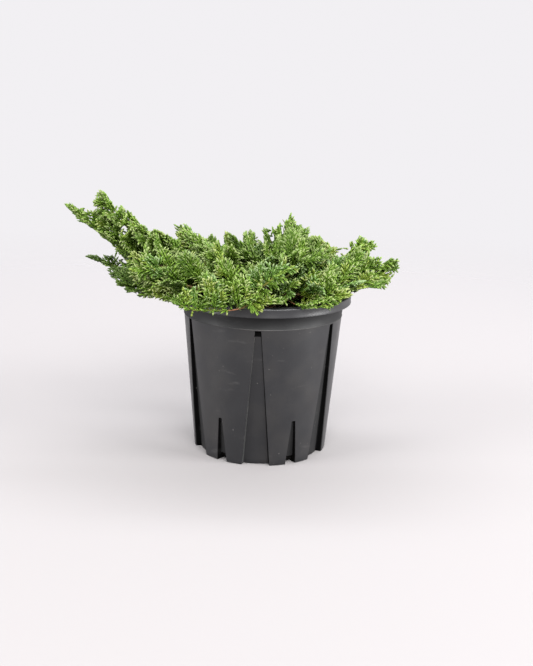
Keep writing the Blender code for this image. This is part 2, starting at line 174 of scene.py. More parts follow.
# The potting mix and the limbs, as in the source
GAP = 0.0003
MIX_GAP = 0.0006
SOIL_TOP = 0.1450
SOIL_CROWN = 0.0025
TRUNK_FOOT = SOIL_TOP + SOIL_CROWN + GAP
TRUNK_RINGS = (
    # height over the mix, radius
    (0.0, 0.0125), (0.002, 0.0100), (0.007, 0.0086), (0.016, 0.0078), (0.024, 0.0068), (0.027, 0.0050),
)
TRUNK_LEAN = Vector((-0.10, -0.05))
ROOT_FLARE = 0.12
BOUGH_RADII = (0.0024, 0.0017)
LEVELS = (0.0050, 0.0120, 0.0190)
BOUGH_LENGTH = 0.026
BARK_OFF = 0.0012
LEAVE_SHARE = 0.38
ARRIVE_SHARE = 0.34
STEM_RADII = (0.0016, 0.0006)
BOUGHS = (
    # name, level, start's compass and climb, then the tip's compass, reach, height, heading and slope
    ("left_long", 1, 180, 14, 174, 0.209, 0.246, 178, 44),
    ("left_upright", 2, 180, 24, 177, 0.171, 0.263, 172, 64),
    ("left_low", 0, 160, 22, 165, 0.198, 0.184, 176, 20),
    ("left_front", 0, 200, 26, 194, 0.158, 0.176, 184, 12),
    ("front_left", 1, 228, 12, 206, 0.140, 0.206, 188, 42),
    ("rim_front", 0, 249, 20, 234, 0.122, 0.170, 212, -4),
    ("front", 1, 269, 22, 262, 0.110, 0.174, 246, 0),
    ("front_right", 0, 286, 28, 290, 0.090, 0.203, 330, 34),
    ("right_front", 1, 307, 20, 314, 0.116, 0.177, 334, 6),
    ("right_low", 0, 328, 22, 346, 0.124, 0.181, 4, 12),
    ("right_long", 1, 347, 16, 0, 0.138, 0.203, 6, 36),
    ("right_back", 1, 25, 28, 16, 0.120, 0.215, 8, 42),
    ("back_right", 0, 42, 26, 44, 0.130, 0.188, 36, 12),
    ("back", 1, 70, 28, 72, 0.132, 0.200, 80, 18),
    ("back_left", 0, 98, 26, 102, 0.138, 0.190, 110, 10),
    ("left_back", 1, 126, 26, 134, 0.152, 0.198, 146, 14),
    ("rise_left", 2, 143, 36, 160, 0.098, 0.226, 170, 48),
    ("rise_back_left", 2, 105, 50, 116, 0.064, 0.220, 120, 56),
    ("rise_back", 2, 67, 56, 56, 0.048, 0.239, 40, 66),
    ("rise_right", 2, 30, 38, 36, 0.104, 0.207, 30, 30),
    ("rise_front_right", 2, 324, 42, 324, 0.070, 0.212, 334, 38),
    ("rise_front", 2, 272, 48, 276, 0.046, 0.205, 290, 30),
    ("rise_front_left", 2, 220, 42, 218, 0.072, 0.207, 205, 30),
)

# The mix's rings as shares of its width, its lumps, chips and grains, and the relief of the limbs' bark
MIX_SHARES = (0.985, 0.95, 0.9, 0.85, 0.8, 0.74, 0.68, 0.6, 0.52, 0.44, 0.36, 0.28, 0.2, 0.12, 0.05)
MIX_DROP = 0.0006
MIX_EDGE_DROP = 0.0012
LUMP_HEIGHT = 0.0004
CRUMB_HEIGHT = 0.0005
GRAIN_MARGIN = 0.0060
GRAIN_RISES = (-0.0004, 0.0007)
GRAIN_TILTS = (("X", 0.3), ("Y", 0.25))
CHIPS = 2600
CHIP_SIZES = ((0.0025, 0.0085), (0.0010, 0.0028), (0.0005, 0.0013))
PERLITE_GRAINS = 150
PERLITE_SIZES = (0.0008, 0.0017)
TRUNK_RELIEF = 0.0005
BOUGH_RELIEF = 0.00022
STEM_RELIEF = 0.00008
SIDE_STEM_RELIEF = 0.00006
COLLAR = 0.0010
COLLAR_LENGTH = 0.0022

# The sprays: the source's rule with a closer step, then flat fans of two more orders of branchlets. Those
# that stand up more than UPRIGHT or hang down more than DROOPING are shorter
SPRAY_STEP = 0.0046
SPRAY_START = 0.012
SPRAY_LENGTH = 0.047
SPRAY_LENGTHS = (0.85, 1.1)
SPRAY_FORWARD = 41
FORWARD_SPREAD = 7
SPRAY_ROLL = 34
UPRIGHT = 50
UPRIGHT_SHARE = 0.90
DROOPING = -35
DROOP_SHARE = 0.60
# How far the sprays of a plume stand up from the level, least and most, by turns along its stem
SPRAY_LIFTS = ((-30, 5), (15, 45), (50, 85), (0, 30), (-75, -35))
ROW_LIFTS = {
    "front_right": ((72, 100), (-100, -72)),
    "rim_front": ((70, 105), (75, 100), (-100, -60), (40, 80), (-10, 30)),
    "front": ((70, 105), (60, 100), (-90, -50), (30, 70), (-20, 20)),
    "front_left": ((60, 100), (20, 50), (-90, -50), (65, 100), (-20, 20)),
    "left_front": ((60, 95), (10, 40), (-30, 5), (65, 100), (-70, -30)),
    "right_front": ((60, 100), (20, 50), (-80, -40), (60, 90), (-20, 20)),
    "right_long": ((-30, 5), (15, 45), (-80, -40), (50, 85), (-60, -20)),
    "right_back": ((60, 100), (15, 45), (-30, 5), (-100, -60), (60, 95)),
    "left_upright": ((60, 100), (-100, -60), (20, 60), (-70, -30), (70, 100)),
    "left_long": ((60, 100), (-20, 20), (-100, -70), (30, 70), (60, 95)),
    "left_low": ((60, 100), (-100, -60), (-20, 30), (40, 80)),
}
TIP_SPRAY = 0.030
TIP_TURNS = (20, 70)
PLACED_ROLL = 15
PLACED_LIFT = 30.0
PLACED_SPRAYS = {
    # sprays at a place of their own on a bough: share of its length, hand, lift, angle from the stem,
    # and length in millimetres
    "right_long": (
        (0.72, 1, -90, 68, 24), (0.8, 1, -70, 55, 24), (0.8, 1, -110, 62, 22), (0.88, 1, -90, 45, 20),
        (0.9, 1, 60, 40, 14),
    ),
    "right_front": ((0.58, 1, -4, 56, 30), (0.7, 1, -10, 60, 26),),
    "left_front": ((0.5, 1, -90, 62, 18), (0.58, -1, -80, 60, 18),),
    "front_left": ((0.46, 1, -90, 45, 22), (0.56, -1, -80, 50, 20),),
    "left_upright": ((0.76, 1, -90, 42, 24), (0.83, 1, -80, 40, 20), (0.9, 1, -100, 38, 16),),
    "rise_back": (
        (0.36, 1, -90, 22, 42), (0.5, 1, -90, 17, 36), (0.64, 1, -80, 15, 28), (0.07, -1, 90, 92, 26),
    ),
    "rise_left": ((0.82, 1, 90, 40, 20), (0.07, 1, 90, 96, 26),),
    "rise_back_left": ((0.08, 1, 90, 88, 24),),
    "rise_right": ((0.06, 1, 90, 100, 26), (0.76, 1, -90, 24, 22),),
    "rise_front_right": ((0.08, -1, 90, 94, 24),),
    "rise_front": ((0.1, 1, 90, 84, 24),),
    "rise_front_left": ((0.08, 1, 90, 96, 26),),
    "right_back": ((0.62, 1, 90, 60, 24), (0.86, 1, -90, 40, 18),),
}
# How much further apart the rule's own sprays stand on boughs that have theirs in the tables here
SPARSE = {"left_upright": 1.5, "rim_front": 2.2, "front": 1.8, "front_right": 1.4}

# Side stems that show in the photograph: which plume has them, what they leave and at what share of it,
# the colours of their bark, their radii, the bare share, and their places in the picture, each with its
# depth in millimetres
SIDE_STEMS = (
    ("rim_stem", "rim_front", "front", 0.9, (4, 2, 3), (0.0008, 0.0003), 0.3, (
        (243, 307.5, -98.5), (236, 309.5, -96.5), (228, 310.5, -96), (216, 310.5, -95.5), (205, 310.5, -96),
        (196, 310.5, -98), (187, 308.5, -101), (181, 305.5, -103.5),
    )),
    ("rim_twig", "right_front", "right_front", 0.22, (0, 0, 4, 2, 2), (0.0006, 0.0003), 0.55, (
        (291, 302, -66), (297, 305, -79), (304, 305.5, -85), (311, 306, -86), (318, 307, -84.5),
        (326, 307, -81.5), (333, 305.5, -77),
    )),
    ("frond_rib", "front", "front", 0.74, (3, 3, 2), (0.0009, 0.0002), 0.4, (
        (260, 289, -90), (268, 282.5, -93), (276, 276, -95.5), (284, 271, -97), (292, 268, -97.5),
    )),
    ("low_rib", "front_right", "front_right", 0.36, (0, 2, 2), (0.0006, 0.0003), 0.4, (
        (274, 297, -60), (281, 294, -74), (287, 289.5, -81), (293, 284, -85),
    )),
)
PICTURE_SPRAYS = (
    # sprays that end at a place in the picture: plume, the bough or side stem that they leave, then for each
    # one the share of that, its place, its depth in millimetres and its green
    ("rim_front", "rim_stem", (
        (0.07, 249, 281, -98, 2), (0.1, 246, 289, -103, 3), (0.15, 241, 278, -100, 3),
        (0.2, 234, 282, -102, 3), (0.29, 230, 299, -100, 0), (0.43, 226, 291, -98, 3),
        (0.48, 220, 284, -100, 3), (0.54, 213, 280, -99, 5), (0.57, 209, 282, -102, 4),
        (0.61, 206, 290, -101, 3), (0.52, 216, 293, -104, 2), (0.7, 201, 302, -100, 1),
        (0.77, 197, 291, -100, 3), (0.81, 191, 289, -102, 5), (0.88, 185, 291, -104, 4),
        (0.94, 179, 297, -105, 3), (0.97, 174, 301, -105, 2), (0.35, 227, 316, -100, 4),
        (0.54, 213, 316, -100, 3), (0.82, 191, 317, -101, 4),
    )),
    ("front", "front", (
        (0.92, 252, 313, -106, 3), (0.9, 257, 315, -106, 3), (0.88, 263, 311, -104, 4),
        (0.8, 280, 303.5, -93, 3), (0.84, 271, 301, -96, 4),
    )),
    ("front", "frond_rib", (
        (0.12, 256, 272, -92, 5), (0.25, 262, 267, -93, 5), (0.4, 270, 267, -94, 5),
        (0.55, 278, 267, -95, 5), (0.7, 286, 266, -95, 5), (0.88, 294, 268, -96, 5),
        (0.1, 262, 299, -94, 2), (0.25, 268, 293, -94, 3), (0.42, 276, 285, -94, 2),
        (0.6, 284, 278, -94, 3), (0.04, 248, 286, -95, 2),
    )),
    ("front_right", "low_rib", (
        (0.3, 273, 285, -72, 5), (0.48, 280, 283, -78, 5), (0.66, 287, 282, -82, 5),
        (0.9, 295, 282, -86, 3), (0.4, 279, 301, -78, 5), (0.58, 286, 300, -82, 3),
        (0.78, 292, 294, -84, 5),
    )),
    ("right_front", "right_front", (
        (0.34, 305, 280, -62, 3), (0.45, 317, 281, -66, 5), (0.6, 322, 288, -80, 3),
        (0.46, 312, 299, -76, 4), (0.52, 319, 296, -80, 3),
    )),
    ("right_front", "rim_twig", (
        (0.62, 309, 309, -89, 1), (0.74, 321, 300, -86, 2), (0.84, 329, 298, -83, 3),
        (0.93, 337, 299, -78, 2), (0.99, 341, 303, -75, 3),
    )),
    ("left_upright", "left_upright", (
        (0.8, 121, 206, -2, 3), (0.74, 129, 212, -8, 3), (0.68, 133, 217, -14, 3), (0.62, 140, 226, -18, 3),
        (0.55, 146, 228, -20, 5), (0.5, 157, 231, -16, 3), (0.6, 137, 219, -12, 3),
        (0.56, 151, 231, -14, 2), (0.48, 164, 233, -10, 3), (0.44, 171, 236, -8, 2),
        (0.54, 148, 238, -26, 3), (0.5, 155, 240, -26, 2), (0.64, 130, 224, -20, 3),
        (0.7, 122, 219, -18, 3), (0.74, 117, 212, -12, 2), (0.66, 128, 232, -20, 3),
        (0.58, 138, 240, -24, 2), (0.82, 107, 216, -12, 3), (0.9, 95, 204, 2, 3), (0.83, 100, 189, 6, 3),
        (0.87, 96, 197, 2, 3), (0.85, 107, 199, 0, 3),
    )),
    ("left_long", "left_long", (
        (0.84, 66, 205, 18, 2), (0.8, 87, 209, 4, 3), (0.72, 101, 219, -6, 3), (0.64, 113, 225, -10, 2),
        (0.56, 122, 237, -14, 3),
    )),
    ("front_left", "front_left", (
        (0.8, 142, 258, -66, 3), (0.7, 150, 259, -64, 5), (0.84, 134, 270, -68, 3),
    )),
    ("left_front", "left_front", (
        (0.62, 134, 272, -46, 3), (0.52, 141, 268, -50, 3), (0.46, 148, 276, -52, 4),
        (0.38, 158, 281, -56, 3), (0.3, 170, 279, -56, 3), (0.5, 145, 291, -48, 3), (0.4, 157, 295, -54, 4),
        (0.28, 170, 300, -62, 3),
    )),
    ("rise_left", "rise_left", (
        (0.86, 174, 224, 33, 2), (0.8, 176, 231.5, 33, 3), (0.52, 212, 234, 26, 1),
    )),
    ("rise_back_left", "rise_back_left", ((0.62, 228, 235, 44, 2),)),
    ("rise_back", "rise_back", (
        (0.48, 264.5, 227.5, 26, 2), (0.54, 272, 226, 28, 2), (0.74, 283, 226, 34, 3),
        (0.66, 279.5, 224, 30, 2), (0.84, 281, 217, 38, 3), (0.7, 301.5, 225, 32, 1),
        (0.6, 309, 228, 28, 2),
    )),
    ("rise_right", "rise_right", (
        (0.45, 321, 237, 20, 4), (0.6, 330, 243, 30, 4), (0.72, 344, 249, 46, 4),
    )),
    ("right_back", "right_back", (
        (0.77, 350, 241, 26, 3), (0.82, 359.5, 237.5, 29, 3), (0.88, 378, 246, 31, 3),
    )),
    ("right_long", "right_long", (
        (0.66, 366, 259, -6, 3), (0.69, 374, 258, -6, 2), (0.73, 381, 258, -5, 3), (0.78, 380, 264, -10, 1),
        (0.85, 391, 259, -4, 2), (0.89, 399.5, 260, -2, 2), (0.84, 399, 268, -6, 1),
        (0.74, 390, 279, -10, 3), (0.68, 384, 287, -12, 3),
    )),
)

SEED = 41

# A spray's form: how it curves up, how far it may reach into a neighbour's space, and the shares of its
# length that are tried in turn until it fits
SPRAY_RISE = 0.08
SPACE_SLACK = 0.013
LENGTH_TRIES = (1.0, 0.86, 0.74, 0.62, 0.52, 0.42, 0.33)
SHORTEST_SPRAY = 0.010
FACING_SPREAD = 0.30
RIB_PROUD = 0.0004
POT_MARGIN = 0.0008

# Its branchlets, and the leafy cords on them and along stems. A cord is left out unless the share CORD_SHOWN
# of its length ends within the outline, and its last triangles have the colour of its tip
BRANCH_STEP = 0.0029
BRANCH_SPAN = (0.05, 0.92)
BRANCH_ANGLE = 31
BRANCH_SPREAD = 7
BRANCH_TILT = 0.15
BRANCH_VARIETY = (0.8, 1.12)
BRANCH_LENGTHS = ((0.0, 0.15, 0.38, 0.7, 1.0), (0.26, 0.40, 0.44, 0.32, 0.14))
SHORTEST_BRANCH = 0.0055
LEAF_STEP = 0.0028
LEAF_ANGLE = 28
LEAF_SPREAD = 9
LEAF_TILT = 0.24
CORD_RADIUS = 0.00122
CORD_LENGTHS = (0.0060, 0.0098)
CORD_VARIETY = (0.85, 1.15)
CORD_TWIST = 0.12 * math.pi
CORD_SHOWN = 0.75
TIP_TRIANGLES = 9
AXIS_STEP = 0.0034
AXIS_SWELL = 1.1
LEAFY_FROM = 0.10
STEM_LEAF_STEP = 0.0011
SIDE_STEM_LEAF_STEP = 0.0016
STEM_CORD_LENGTHS = (0.0038, 0.0064)
STEM_CORD_LEANS = (14, 36)
STEM_END = 0.005
STEM_TIP = 0.008

# Their greens: shares of odd, dark and pale cords, chances of a bluish or a yellowish spray, how fresh the
# others are, lighter the more they stand up, and painted light and painted shade on some boughs
ODD_SHARE = 0.30
DARK_CORDS = 0.20
DARK_INSIDE = (0.45, 0.6)
PALE_CORDS = 0.12
BLUE_BELOW = 0.09
YELLOW_BELOW = 0.17
FRESH_AT_FOOT = 0.30
FRESH_BY_SHARE = 0.42
LIGHTER_BY_LIFT = 0.004
FRESH_SPREAD = 0.13
# painted light on the left boughs, painted shade on boughs that lie in shade
PAINTED_LIGHT_AND_SHADE = {
    "left_upright": 0.25, "left_long": 0.25, "left_back": -0.35, "back_left": -0.35, "front_right": -0.35,
}

# Colours on screen, as levels from 0 to 255
POT_LOOKS = (
    # name, dull and worn colour, roughness, specular
    ("pot_plastic", (22, 22, 24), (31, 30, 30), (0.34, 0.44), 0.42),
    # painted shade: a darker, duller copy of the plastic for the other panels' floors and the band under the
    # rim
    ("pot_painted_shade", (18, 18, 19), (25, 25, 25), (0.50, 0.60), 0.22),
    # painted highlight: a lighter, matt grey for the seam line and one side wall of the front panel
    ("pot_painted_highlight", (46, 46, 46), (62, 61, 60), (0.80, 0.90), 0.10),
    # painted shadow: near-black plastic in the panels' tops, their side walls and the long panels' far sides
    ("pot_painted_shadow", (3, 3, 3), (6, 6, 6), (0.80, 0.90), 0.04),
    # painted highlight: a lighter, glossier copy of the plastic on the rim and its skirt
    ("pot_rim_painted_highlight", (27, 27, 29), (40, 39, 39), (0.34, 0.44), 0.48),
)
PLAIN, PAINTED_SHADE, PAINTED_HIGHLIGHT, PAINTED_SHADOW, PAINTED_RIM_HIGHLIGHT = range(len(POT_LOOKS))
GRAINY_LOOKS = {
    # colour, roughness, specular; the noise of its colours and their stops; its relief's noise and strength
    # and depth
    # the potting mix: dark brown, partly its own colour and partly painted shade of the pot's inside
    "mix_brown": ((48, 36, 27), 0.95, 0.1, (260, 6),
                  ((0.30, (12, 9, 6)), (0.52, (28, 20, 14)), (0.75, (54, 40, 28))), (700, 5), 0.6, 0.0008),
    "bark_chip": ((84, 56, 38), 0.85, 0.25, (120, 4),
                  ((0.30, (22, 15, 10)), (0.55, (50, 34, 22)), (0.80, (86, 60, 42))), (800, 4), 0.5, 0.0005),
    "perlite": ((214, 210, 200), 0.9, 0.2, (900, 3),
                ((0.3, (180, 174, 162)), (0.7, (228, 226, 220))), (1500, 3), 0.4, 0.0003),
    "bark": ((96, 66, 42), 0.85, 0.15, (150, 6, (1, 1, 0.35)),
             ((0.28, (45, 34, 24)), (0.5, (84, 65, 45)), (0.72, (124, 102, 77))),
             (500, 5, (1, 1, 0.3)), 0.7, 0.0006),
}
TWIG_COLOURS = (
    # from the woody foot of a stem to its green tip, then two for side stems
    ("twig_brown", (62, 42, 26)), ("twig_tan", (74, 58, 32)), ("twig_green", (76, 82, 28)),
    ("twig_gold", (98, 92, 34)), ("twig_red", (112, 76, 52)),
)
GREEN_TWIG = 2
LEAF_COLOURS = (
    # each green as three shades: the inner cords, darker as painted shade inside the spray and in the notches
    #     # between scales; the leafy cords on them; and those cords' tips, paler, partly young growth and
    #     partly
    #     # painted highlight
    ("leaf_shade", (39, 57, 7), (57, 77, 20), (64, 80, 35)),
    ("leaf_deep", (44, 66, 7), (69, 92, 24), (78, 95, 44)),
    ("leaf_mid", (50, 74, 8), (80, 104, 32), (92, 108, 57)),
    ("leaf_fresh", (58, 82, 10), (91, 114, 41), (106, 119, 69)),
    ("leaf_yellow", (64, 81, 12), (98, 113, 41), (111, 120, 68)),
    ("leaf_blue", (51, 77, 16), (84, 111, 51), (98, 116, 75)),
)
SHADE, DEEP, MID, FRESH, YELLOW, BLUE = range(len(LEAF_COLOURS))
LEAF_FINISHES = (("_inner", 0.65, 0.15), ("_outer", 0.55, 0.22), ("_tip", 0.55, 0.22))


def linear(*levels):
    """A screen colour, with levels from 0 to 255, as the linear colour that Blender's shaders take."""
    shares = [level / 255 for level in levels]
    return tuple(s / 12.92 if s <= 0.04045 else ((s + 0.055) / 1.055) ** 2.4 for s in shares)


def mix(pair, share):
    """The value that lies that share of the way from the first of the pair to the second."""
    return pair[0] + (pair[1] - pair[0]) * share


def eased(share, size=1.0):
    """That size, faded in smoothly as share goes from 0 to 1."""
    return size * share * share * (3 - 2 * share)


# Camera, stage and light

def view_axes():
    """The photograph's directions to the right, up and ahead."""
    ahead = Vector((0, math.cos(ELEVATION), -math.sin(ELEVATION)))
    level = Vector((1, 0, 0))
    over = Vector((0, math.sin(ELEVATION), math.cos(ELEVATION)))
    right = level * math.cos(ROLL) + over * math.sin(ROLL)
    up = over * math.cos(ROLL) - level * math.sin(ROLL)
    return right, up, ahead


def make_camera():
    right, up, ahead = view_axes()
    lens = bpy.data.cameras.new("camera")
    lens.lens = LENS
    lens.sensor_width = SENSOR
    camera = bpy.data.objects.new("camera", lens)
    bpy.context.scene.collection.objects.link(camera)
    camera.matrix_world = Matrix((right, up, -ahead)).transposed().to_4x4()
    camera.matrix_world.translation = TARGET - ahead * DISTANCE
    bpy.context.scene.camera = camera


def add_object(name, mesh, *materials):
    obj = bpy.data.objects.new(name, mesh)
    bpy.context.scene.collection.objects.link(obj)
    for material in materials:
        mesh.materials.append(material)
    return obj


def make_stage():
    """A pale floor that fades, away from the plant, into the pale studio round it."""
    reach = FLOOR_REACH
    points = [(-reach, -reach, 0), (reach, -reach, 0), (reach, reach, 0), (-reach, reach, 0)]
    mesh = bpy.data.meshes.new("floor")
    mesh.from_pydata(points, [], [(0, 1, 2, 3)])
    paper = Shading("paper", linear(*FLOOR_COLOUR), 0.9, 0.1)
    distance = paper.node("ShaderNodeVectorMath")
    distance.operation = "LENGTH"
    fade = paper.node("ShaderNodeMapRange", Value=distance.outputs["Value"])
    fade.interpolation_type = "SMOOTHSTEP"
    fade.inputs["From Min"].default_value, fade.inputs["From Max"].default_value = FLOOR_FADE
    clear = paper.node("ShaderNodeBsdfTransparent")
    faded = paper.node("ShaderNodeMixShader", Fac=fade.outputs["Result"])
    links = paper.tree.links
    links.new(paper.coordinates(), distance.inputs[0])
    links.new(paper.shader.outputs["BSDF"], faded.inputs[1])
    links.new(clear.outputs["BSDF"], faded.inputs[2])
    links.new(faded.outputs["Shader"], paper.tree.nodes["Material Output"].inputs["Surface"])
    add_object("floor", mesh, paper.material)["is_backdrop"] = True


def add_light(name, place, aim, size, power, colour=(1, 1, 1)):
    lamp = bpy.data.lights.new(name, "AREA")
    lamp.shape = "RECTANGLE"
    lamp.size, lamp.size_y = size
    lamp.energy = power
    lamp.color = colour
    light = bpy.data.objects.new(name, lamp)
    bpy.context.scene.collection.objects.link(light)
    light.location = place
    light.rotation_euler = (Vector(aim) - Vector(place)).to_track_quat("-Z", "Y").to_euler()


def make_light():
    world = bpy.data.worlds.new("studio")
    world.use_nodes = True
    sky = world.node_tree.nodes["Background"]
    sky.inputs["Color"].default_value = (*linear(*WORLD_COLOUR), 1)
    sky.inputs["Strength"].default_value = WORLD_STRENGTH
    bpy.context.scene.world = world
    for light in LIGHTS:
        add_light(*light)
    bpy.context.scene.view_settings.view_transform = "Standard"
    bpy.context.scene.view_settings.look = "None"


# Materials

class Shading:
    """Short calls for one material's nodes."""

    def __init__(self, name, colour, roughness, specular):
        self.material = bpy.data.materials.new(name)
        self.material.use_nodes = True
        self.tree = self.material.node_tree
        self.shader = self.tree.nodes["Principled BSDF"]
        self.shader.inputs["Base Color"].default_value = (*colour, 1)
        self.shader.inputs["Roughness"].default_value = roughness
        self.shader.inputs["Specular IOR Level"].default_value = specular
        self.place = None

    def node(self, kind, **inputs):
        """A new node, with its named inputs linked to other nodes' outputs or set to values."""
        made = self.tree.nodes.new(kind)
        for name, value in inputs.items():
            if isinstance(value, bpy.types.NodeSocket):
                self.tree.links.new(value, made.inputs[name])
            else:
                made.inputs[name].default_value = value
        return made

    def drive(self, name, value):
        """Links a value to one of the shader's own inputs."""
        self.tree.links.new(value, self.shader.inputs[name])

    def coordinates(self):
        if self.place is None:
            self.place = self.node("ShaderNodeTexCoord")
        return self.place.outputs["Object"]

    def height(self):
        return self.node("ShaderNodeSeparateXYZ", Vector=self.coordinates()).outputs["Z"]

    def noise(self, scale, detail, stretch=(1, 1, 1)):
        place = self.node("ShaderNodeMapping", Scale=stretch, Vector=self.coordinates()).outputs["Vector"]
        return self.node("ShaderNodeTexNoise", Scale=scale, Detail=detail, Vector=place).outputs["Fac"]

    def ramp(self, value, stops):
        """The value as a colour by the stops, which are colours or shares of white."""
        node = self.node("ShaderNodeValToRGB", Fac=value)
        elements = node.color_ramp.elements
        while len(elements) < len(stops):
            elements.new(0.5)
        for element, (position, colour) in zip(elements, stops):
            element.position = position
            element.color = (*colour, 1) if isinstance(colour, tuple) else (colour, colour, colour, 1)
        return node.outputs["Color"]

    def blend(self, share, first, second):
        node = self.node("ShaderNodeMix")
        node.data_type = "RGBA"
        self.tree.links.new(share, node.inputs["Factor"])
        for socket, value in ((node.inputs["A"], first), (node.inputs["B"], second)):
            if isinstance(value, tuple):
                socket.default_value = (*value, 1)
            else:
                self.tree.links.new(value, socket)
        return node.outputs["Result"]

    def bump(self, value, strength, distance):
        node = self.node("ShaderNodeBump", Strength=strength, Distance=distance, Height=value)
        self.drive("Normal", node.outputs["Normal"])


def pot_plastic(name, dull, worn, roughness, specular):
    """Black moulded plastic: dull, a little dusty, with fine level scratches and scuffs."""
    dull, worn = linear(*dull), linear(*worn)
    scuffed = tuple(mix(pair, 0.25) for pair in zip(worn, linear(74, 73, 73)))
    look = Shading(name, dull, roughness[0], specular)
    dust = look.ramp(look.noise(30, 6), [(0.45, 0.0), (0.75, 1.0)])
    tone = look.blend(dust, dull, worn)
    scuffs = look.ramp(look.noise(34, 7, (1, 1, 4)), [(0.64, 0.0), (0.80, 1.0)])
    tone = look.blend(scuffs, tone, scuffed)
    specks = look.ramp(look.noise(420, 1), [(0.785, 0.0), (0.81, 1.0)])
    look.drive("Base Color", look.blend(specks, tone, linear(92, 90, 88)))
    look.drive("Roughness", look.ramp(look.noise(55, 5), [(0.3, roughness[0]), (0.7, roughness[1])]))
    look.bump(look.noise(700, 3), 0.06, 0.0004)
    return look.material


def grainy(name):
    """A rough material by its row in the table. Lower down, the potting mix has painted shade, near black."""
    base, roughness, specular, grain, stops, lumps, strength, depth = GRAINY_LOOKS[name]
    look = Shading(name, linear(*base), roughness, specular)
    tone = look.ramp(look.noise(*grain), [(position, linear(*levels)) for position, levels in stops])
    # painted shade: the potting mix turns near black lower down, inside the pot
    if name == "mix_brown":
        tone = look.blend(look.ramp(look.height(), [(0.10, 0.0), (0.13, 1.0)]), linear(6, 5, 4), tone)
    look.drive("Base Color", tone)
    look.bump(look.noise(*lumps), strength, depth)
    return look.material


def twig_materials():
    return [Shading(name, linear(*levels), 0.7, 0.3).material for name, levels in TWIG_COLOURS]


def leaf_materials():
    return [Shading(name + part, linear(*levels), *finish).material
            for name, *shades in LEAF_COLOURS for (part, *finish), levels in zip(LEAF_FINISHES, shades)]


# Meshes from rings and arrays

def mesh_of(name, points, faces):
    mesh = bpy.data.meshes.new(name)
    mesh.from_pydata([tuple(p) for p in points], [], faces)
    mesh.validate()
    return mesh


def add_triangles(name, points, triangles, materials, slots=None):
    """A piece straight from points (n, 3), triangles (m, 3) and a material slot for each triangle."""
    mesh = bpy.data.meshes.new(name)
    mesh.vertices.add(len(points))
    mesh.vertices.foreach_set("co", np.asarray(points, np.float32).ravel())
    mesh.loops.add(3 * len(triangles))
    mesh.loops.foreach_set("vertex_index", np.asarray(triangles, np.int32).ravel())
    mesh.polygons.add(len(triangles))
    mesh.polygons.foreach_set("loop_start", np.arange(0, 3 * len(triangles), 3, dtype=np.int32))
    mesh.polygons.foreach_set("loop_total", np.full(len(triangles), 3, np.int32))
    if slots is not None:
        mesh.polygons.foreach_set("material_index", np.asarray(slots, np.int32))
    mesh.update(calc_edges=True)
    return add_object(name, mesh, *materials)


def skin_of(rings):
    """Points and faces of a stack of rings, listed so that the faces point out, with a fan as each cap."""
    count = len(rings[0])
    points = [p for ring in rings for p in ring]
    faces = []
    for level in range(len(rings) - 1):
        low, high = level * count, (level + 1) * count
        for i in range(count):
            j = (i + 1) % count
            faces.append((low + i, low + j, high + j, high + i))
    for ring, first in ((rings[0], 0), (rings[-1], (len(rings) - 1) * count)):
        middle = len(points)
        points.append(tuple(sum(p[axis] for p in ring) / count for axis in range(3)))
        for i in range(count):
            j = (i + 1) % count
            face = (first + j, first + i, middle) if first == 0 else (first + i, first + j, middle)
            faces.append(face)
    return points, faces


# The pot

def wall_radius(z):
    return mix((BASE_RADIUS, NECK_RADIUS), z / (POT_HEIGHT - SKIRT_HEIGHT))


def panel_shape(z, top, widths, depths):
    """Half a recessed panel's width at height z, and its depth, which runs out over a ledge at the top."""
    share = min(z / top, 1.0)
    fade = min(max((top + LEDGE - z) / LEDGE, 0.0), 1.0)
    return mix(widths, share) / 2, eased(fade, mix(depths, share))


def wall_ring(z, offset=0.0, section_z=None, proud=0.0):
    """The wall's points round the pot at height z, moved in by offset with its panels that much wider."""
    at = z if section_z is None else section_z
    radius = wall_radius(at) + proud
    long_half, long_depth = panel_shape(at, LONG_TOP + offset, LONG_WIDTHS, LONG_DEPTHS)
    short_half, short_depth = panel_shape(at, SHORT_TOP + offset, SHORT_WIDTHS, SHORT_DEPTHS)
    sector = math.tau / SECTORS
    long_edge, long_rim = ((long_half + offset + draft) / radius for draft in (0.0, DRAFT))
    short_edge, short_rim = (sector / 2 - (short_half + offset + draft) / radius for draft in (0.0, DRAFT))
    zones = (
        # half a sector, from the middle of a long panel to the middle of a short one: angles from and to,
        # depth, whether it runs out between them, and the columns' shares of the way
        ((0.0, long_edge), long_depth, 0, (0.0, 0.35, 0.70, 1.0)),
        ((long_edge, long_rim), long_depth, 1, (0.25, 0.5, 0.75, 1.0)),
        ((long_rim, short_rim), 0.0, 0, np.linspace(0.08, 0.92, 12)),
        ((short_edge, short_rim), short_depth, 1, (1.0, 0.75, 0.5, 0.25)),
        ((sector / 2, short_edge), short_depth, 0, (1.0, 0.5, 0.0)),
    )
    half = [(mix(angles, share), depth * (1 - runs_out * eased(share)))
            for angles, depth, runs_out, shares in zones for share in shares]
    columns = [(-angle, depth) for angle, depth in reversed(half[1:])] + half[:-1]
    points = []
    for index in range(SECTORS):
        middle = FIRST_PANEL_ANGLE + index * sector
        for angle, depth in columns:
            reach = radius - offset - depth
            turn = middle + angle
            points.append((reach * math.cos(turn), reach * math.sin(turn), z))
    return points


def wall_rings(heights, offset=0.0):
    return [wall_ring(z, offset) for z in heights]


def over_ledge(top, *shares):
    """Heights about the ledge at a panel's top, as shares of the way over it."""
    return [top + LEDGE * share for share in shares]


def round_ring(radius, z, like):
    """A round ring with its points at the angles of the ring it is like."""
    turns = [math.atan2(y, x) for x, y, _ in like]
    return [(radius * math.cos(turn), radius * math.sin(turn), z) for turn in turns]


def quarter(radius, z, size, first, last, like, steps=4):
    """Rings round a rounded edge: a quarter turn about the circle at that radius and height."""
    rings = []
    for i in range(steps + 1):
        turn = math.radians(mix((first, last), i / steps))
        rings.append(round_ring(radius + size * math.cos(turn), z + size * math.sin(turn), like))
    return rings


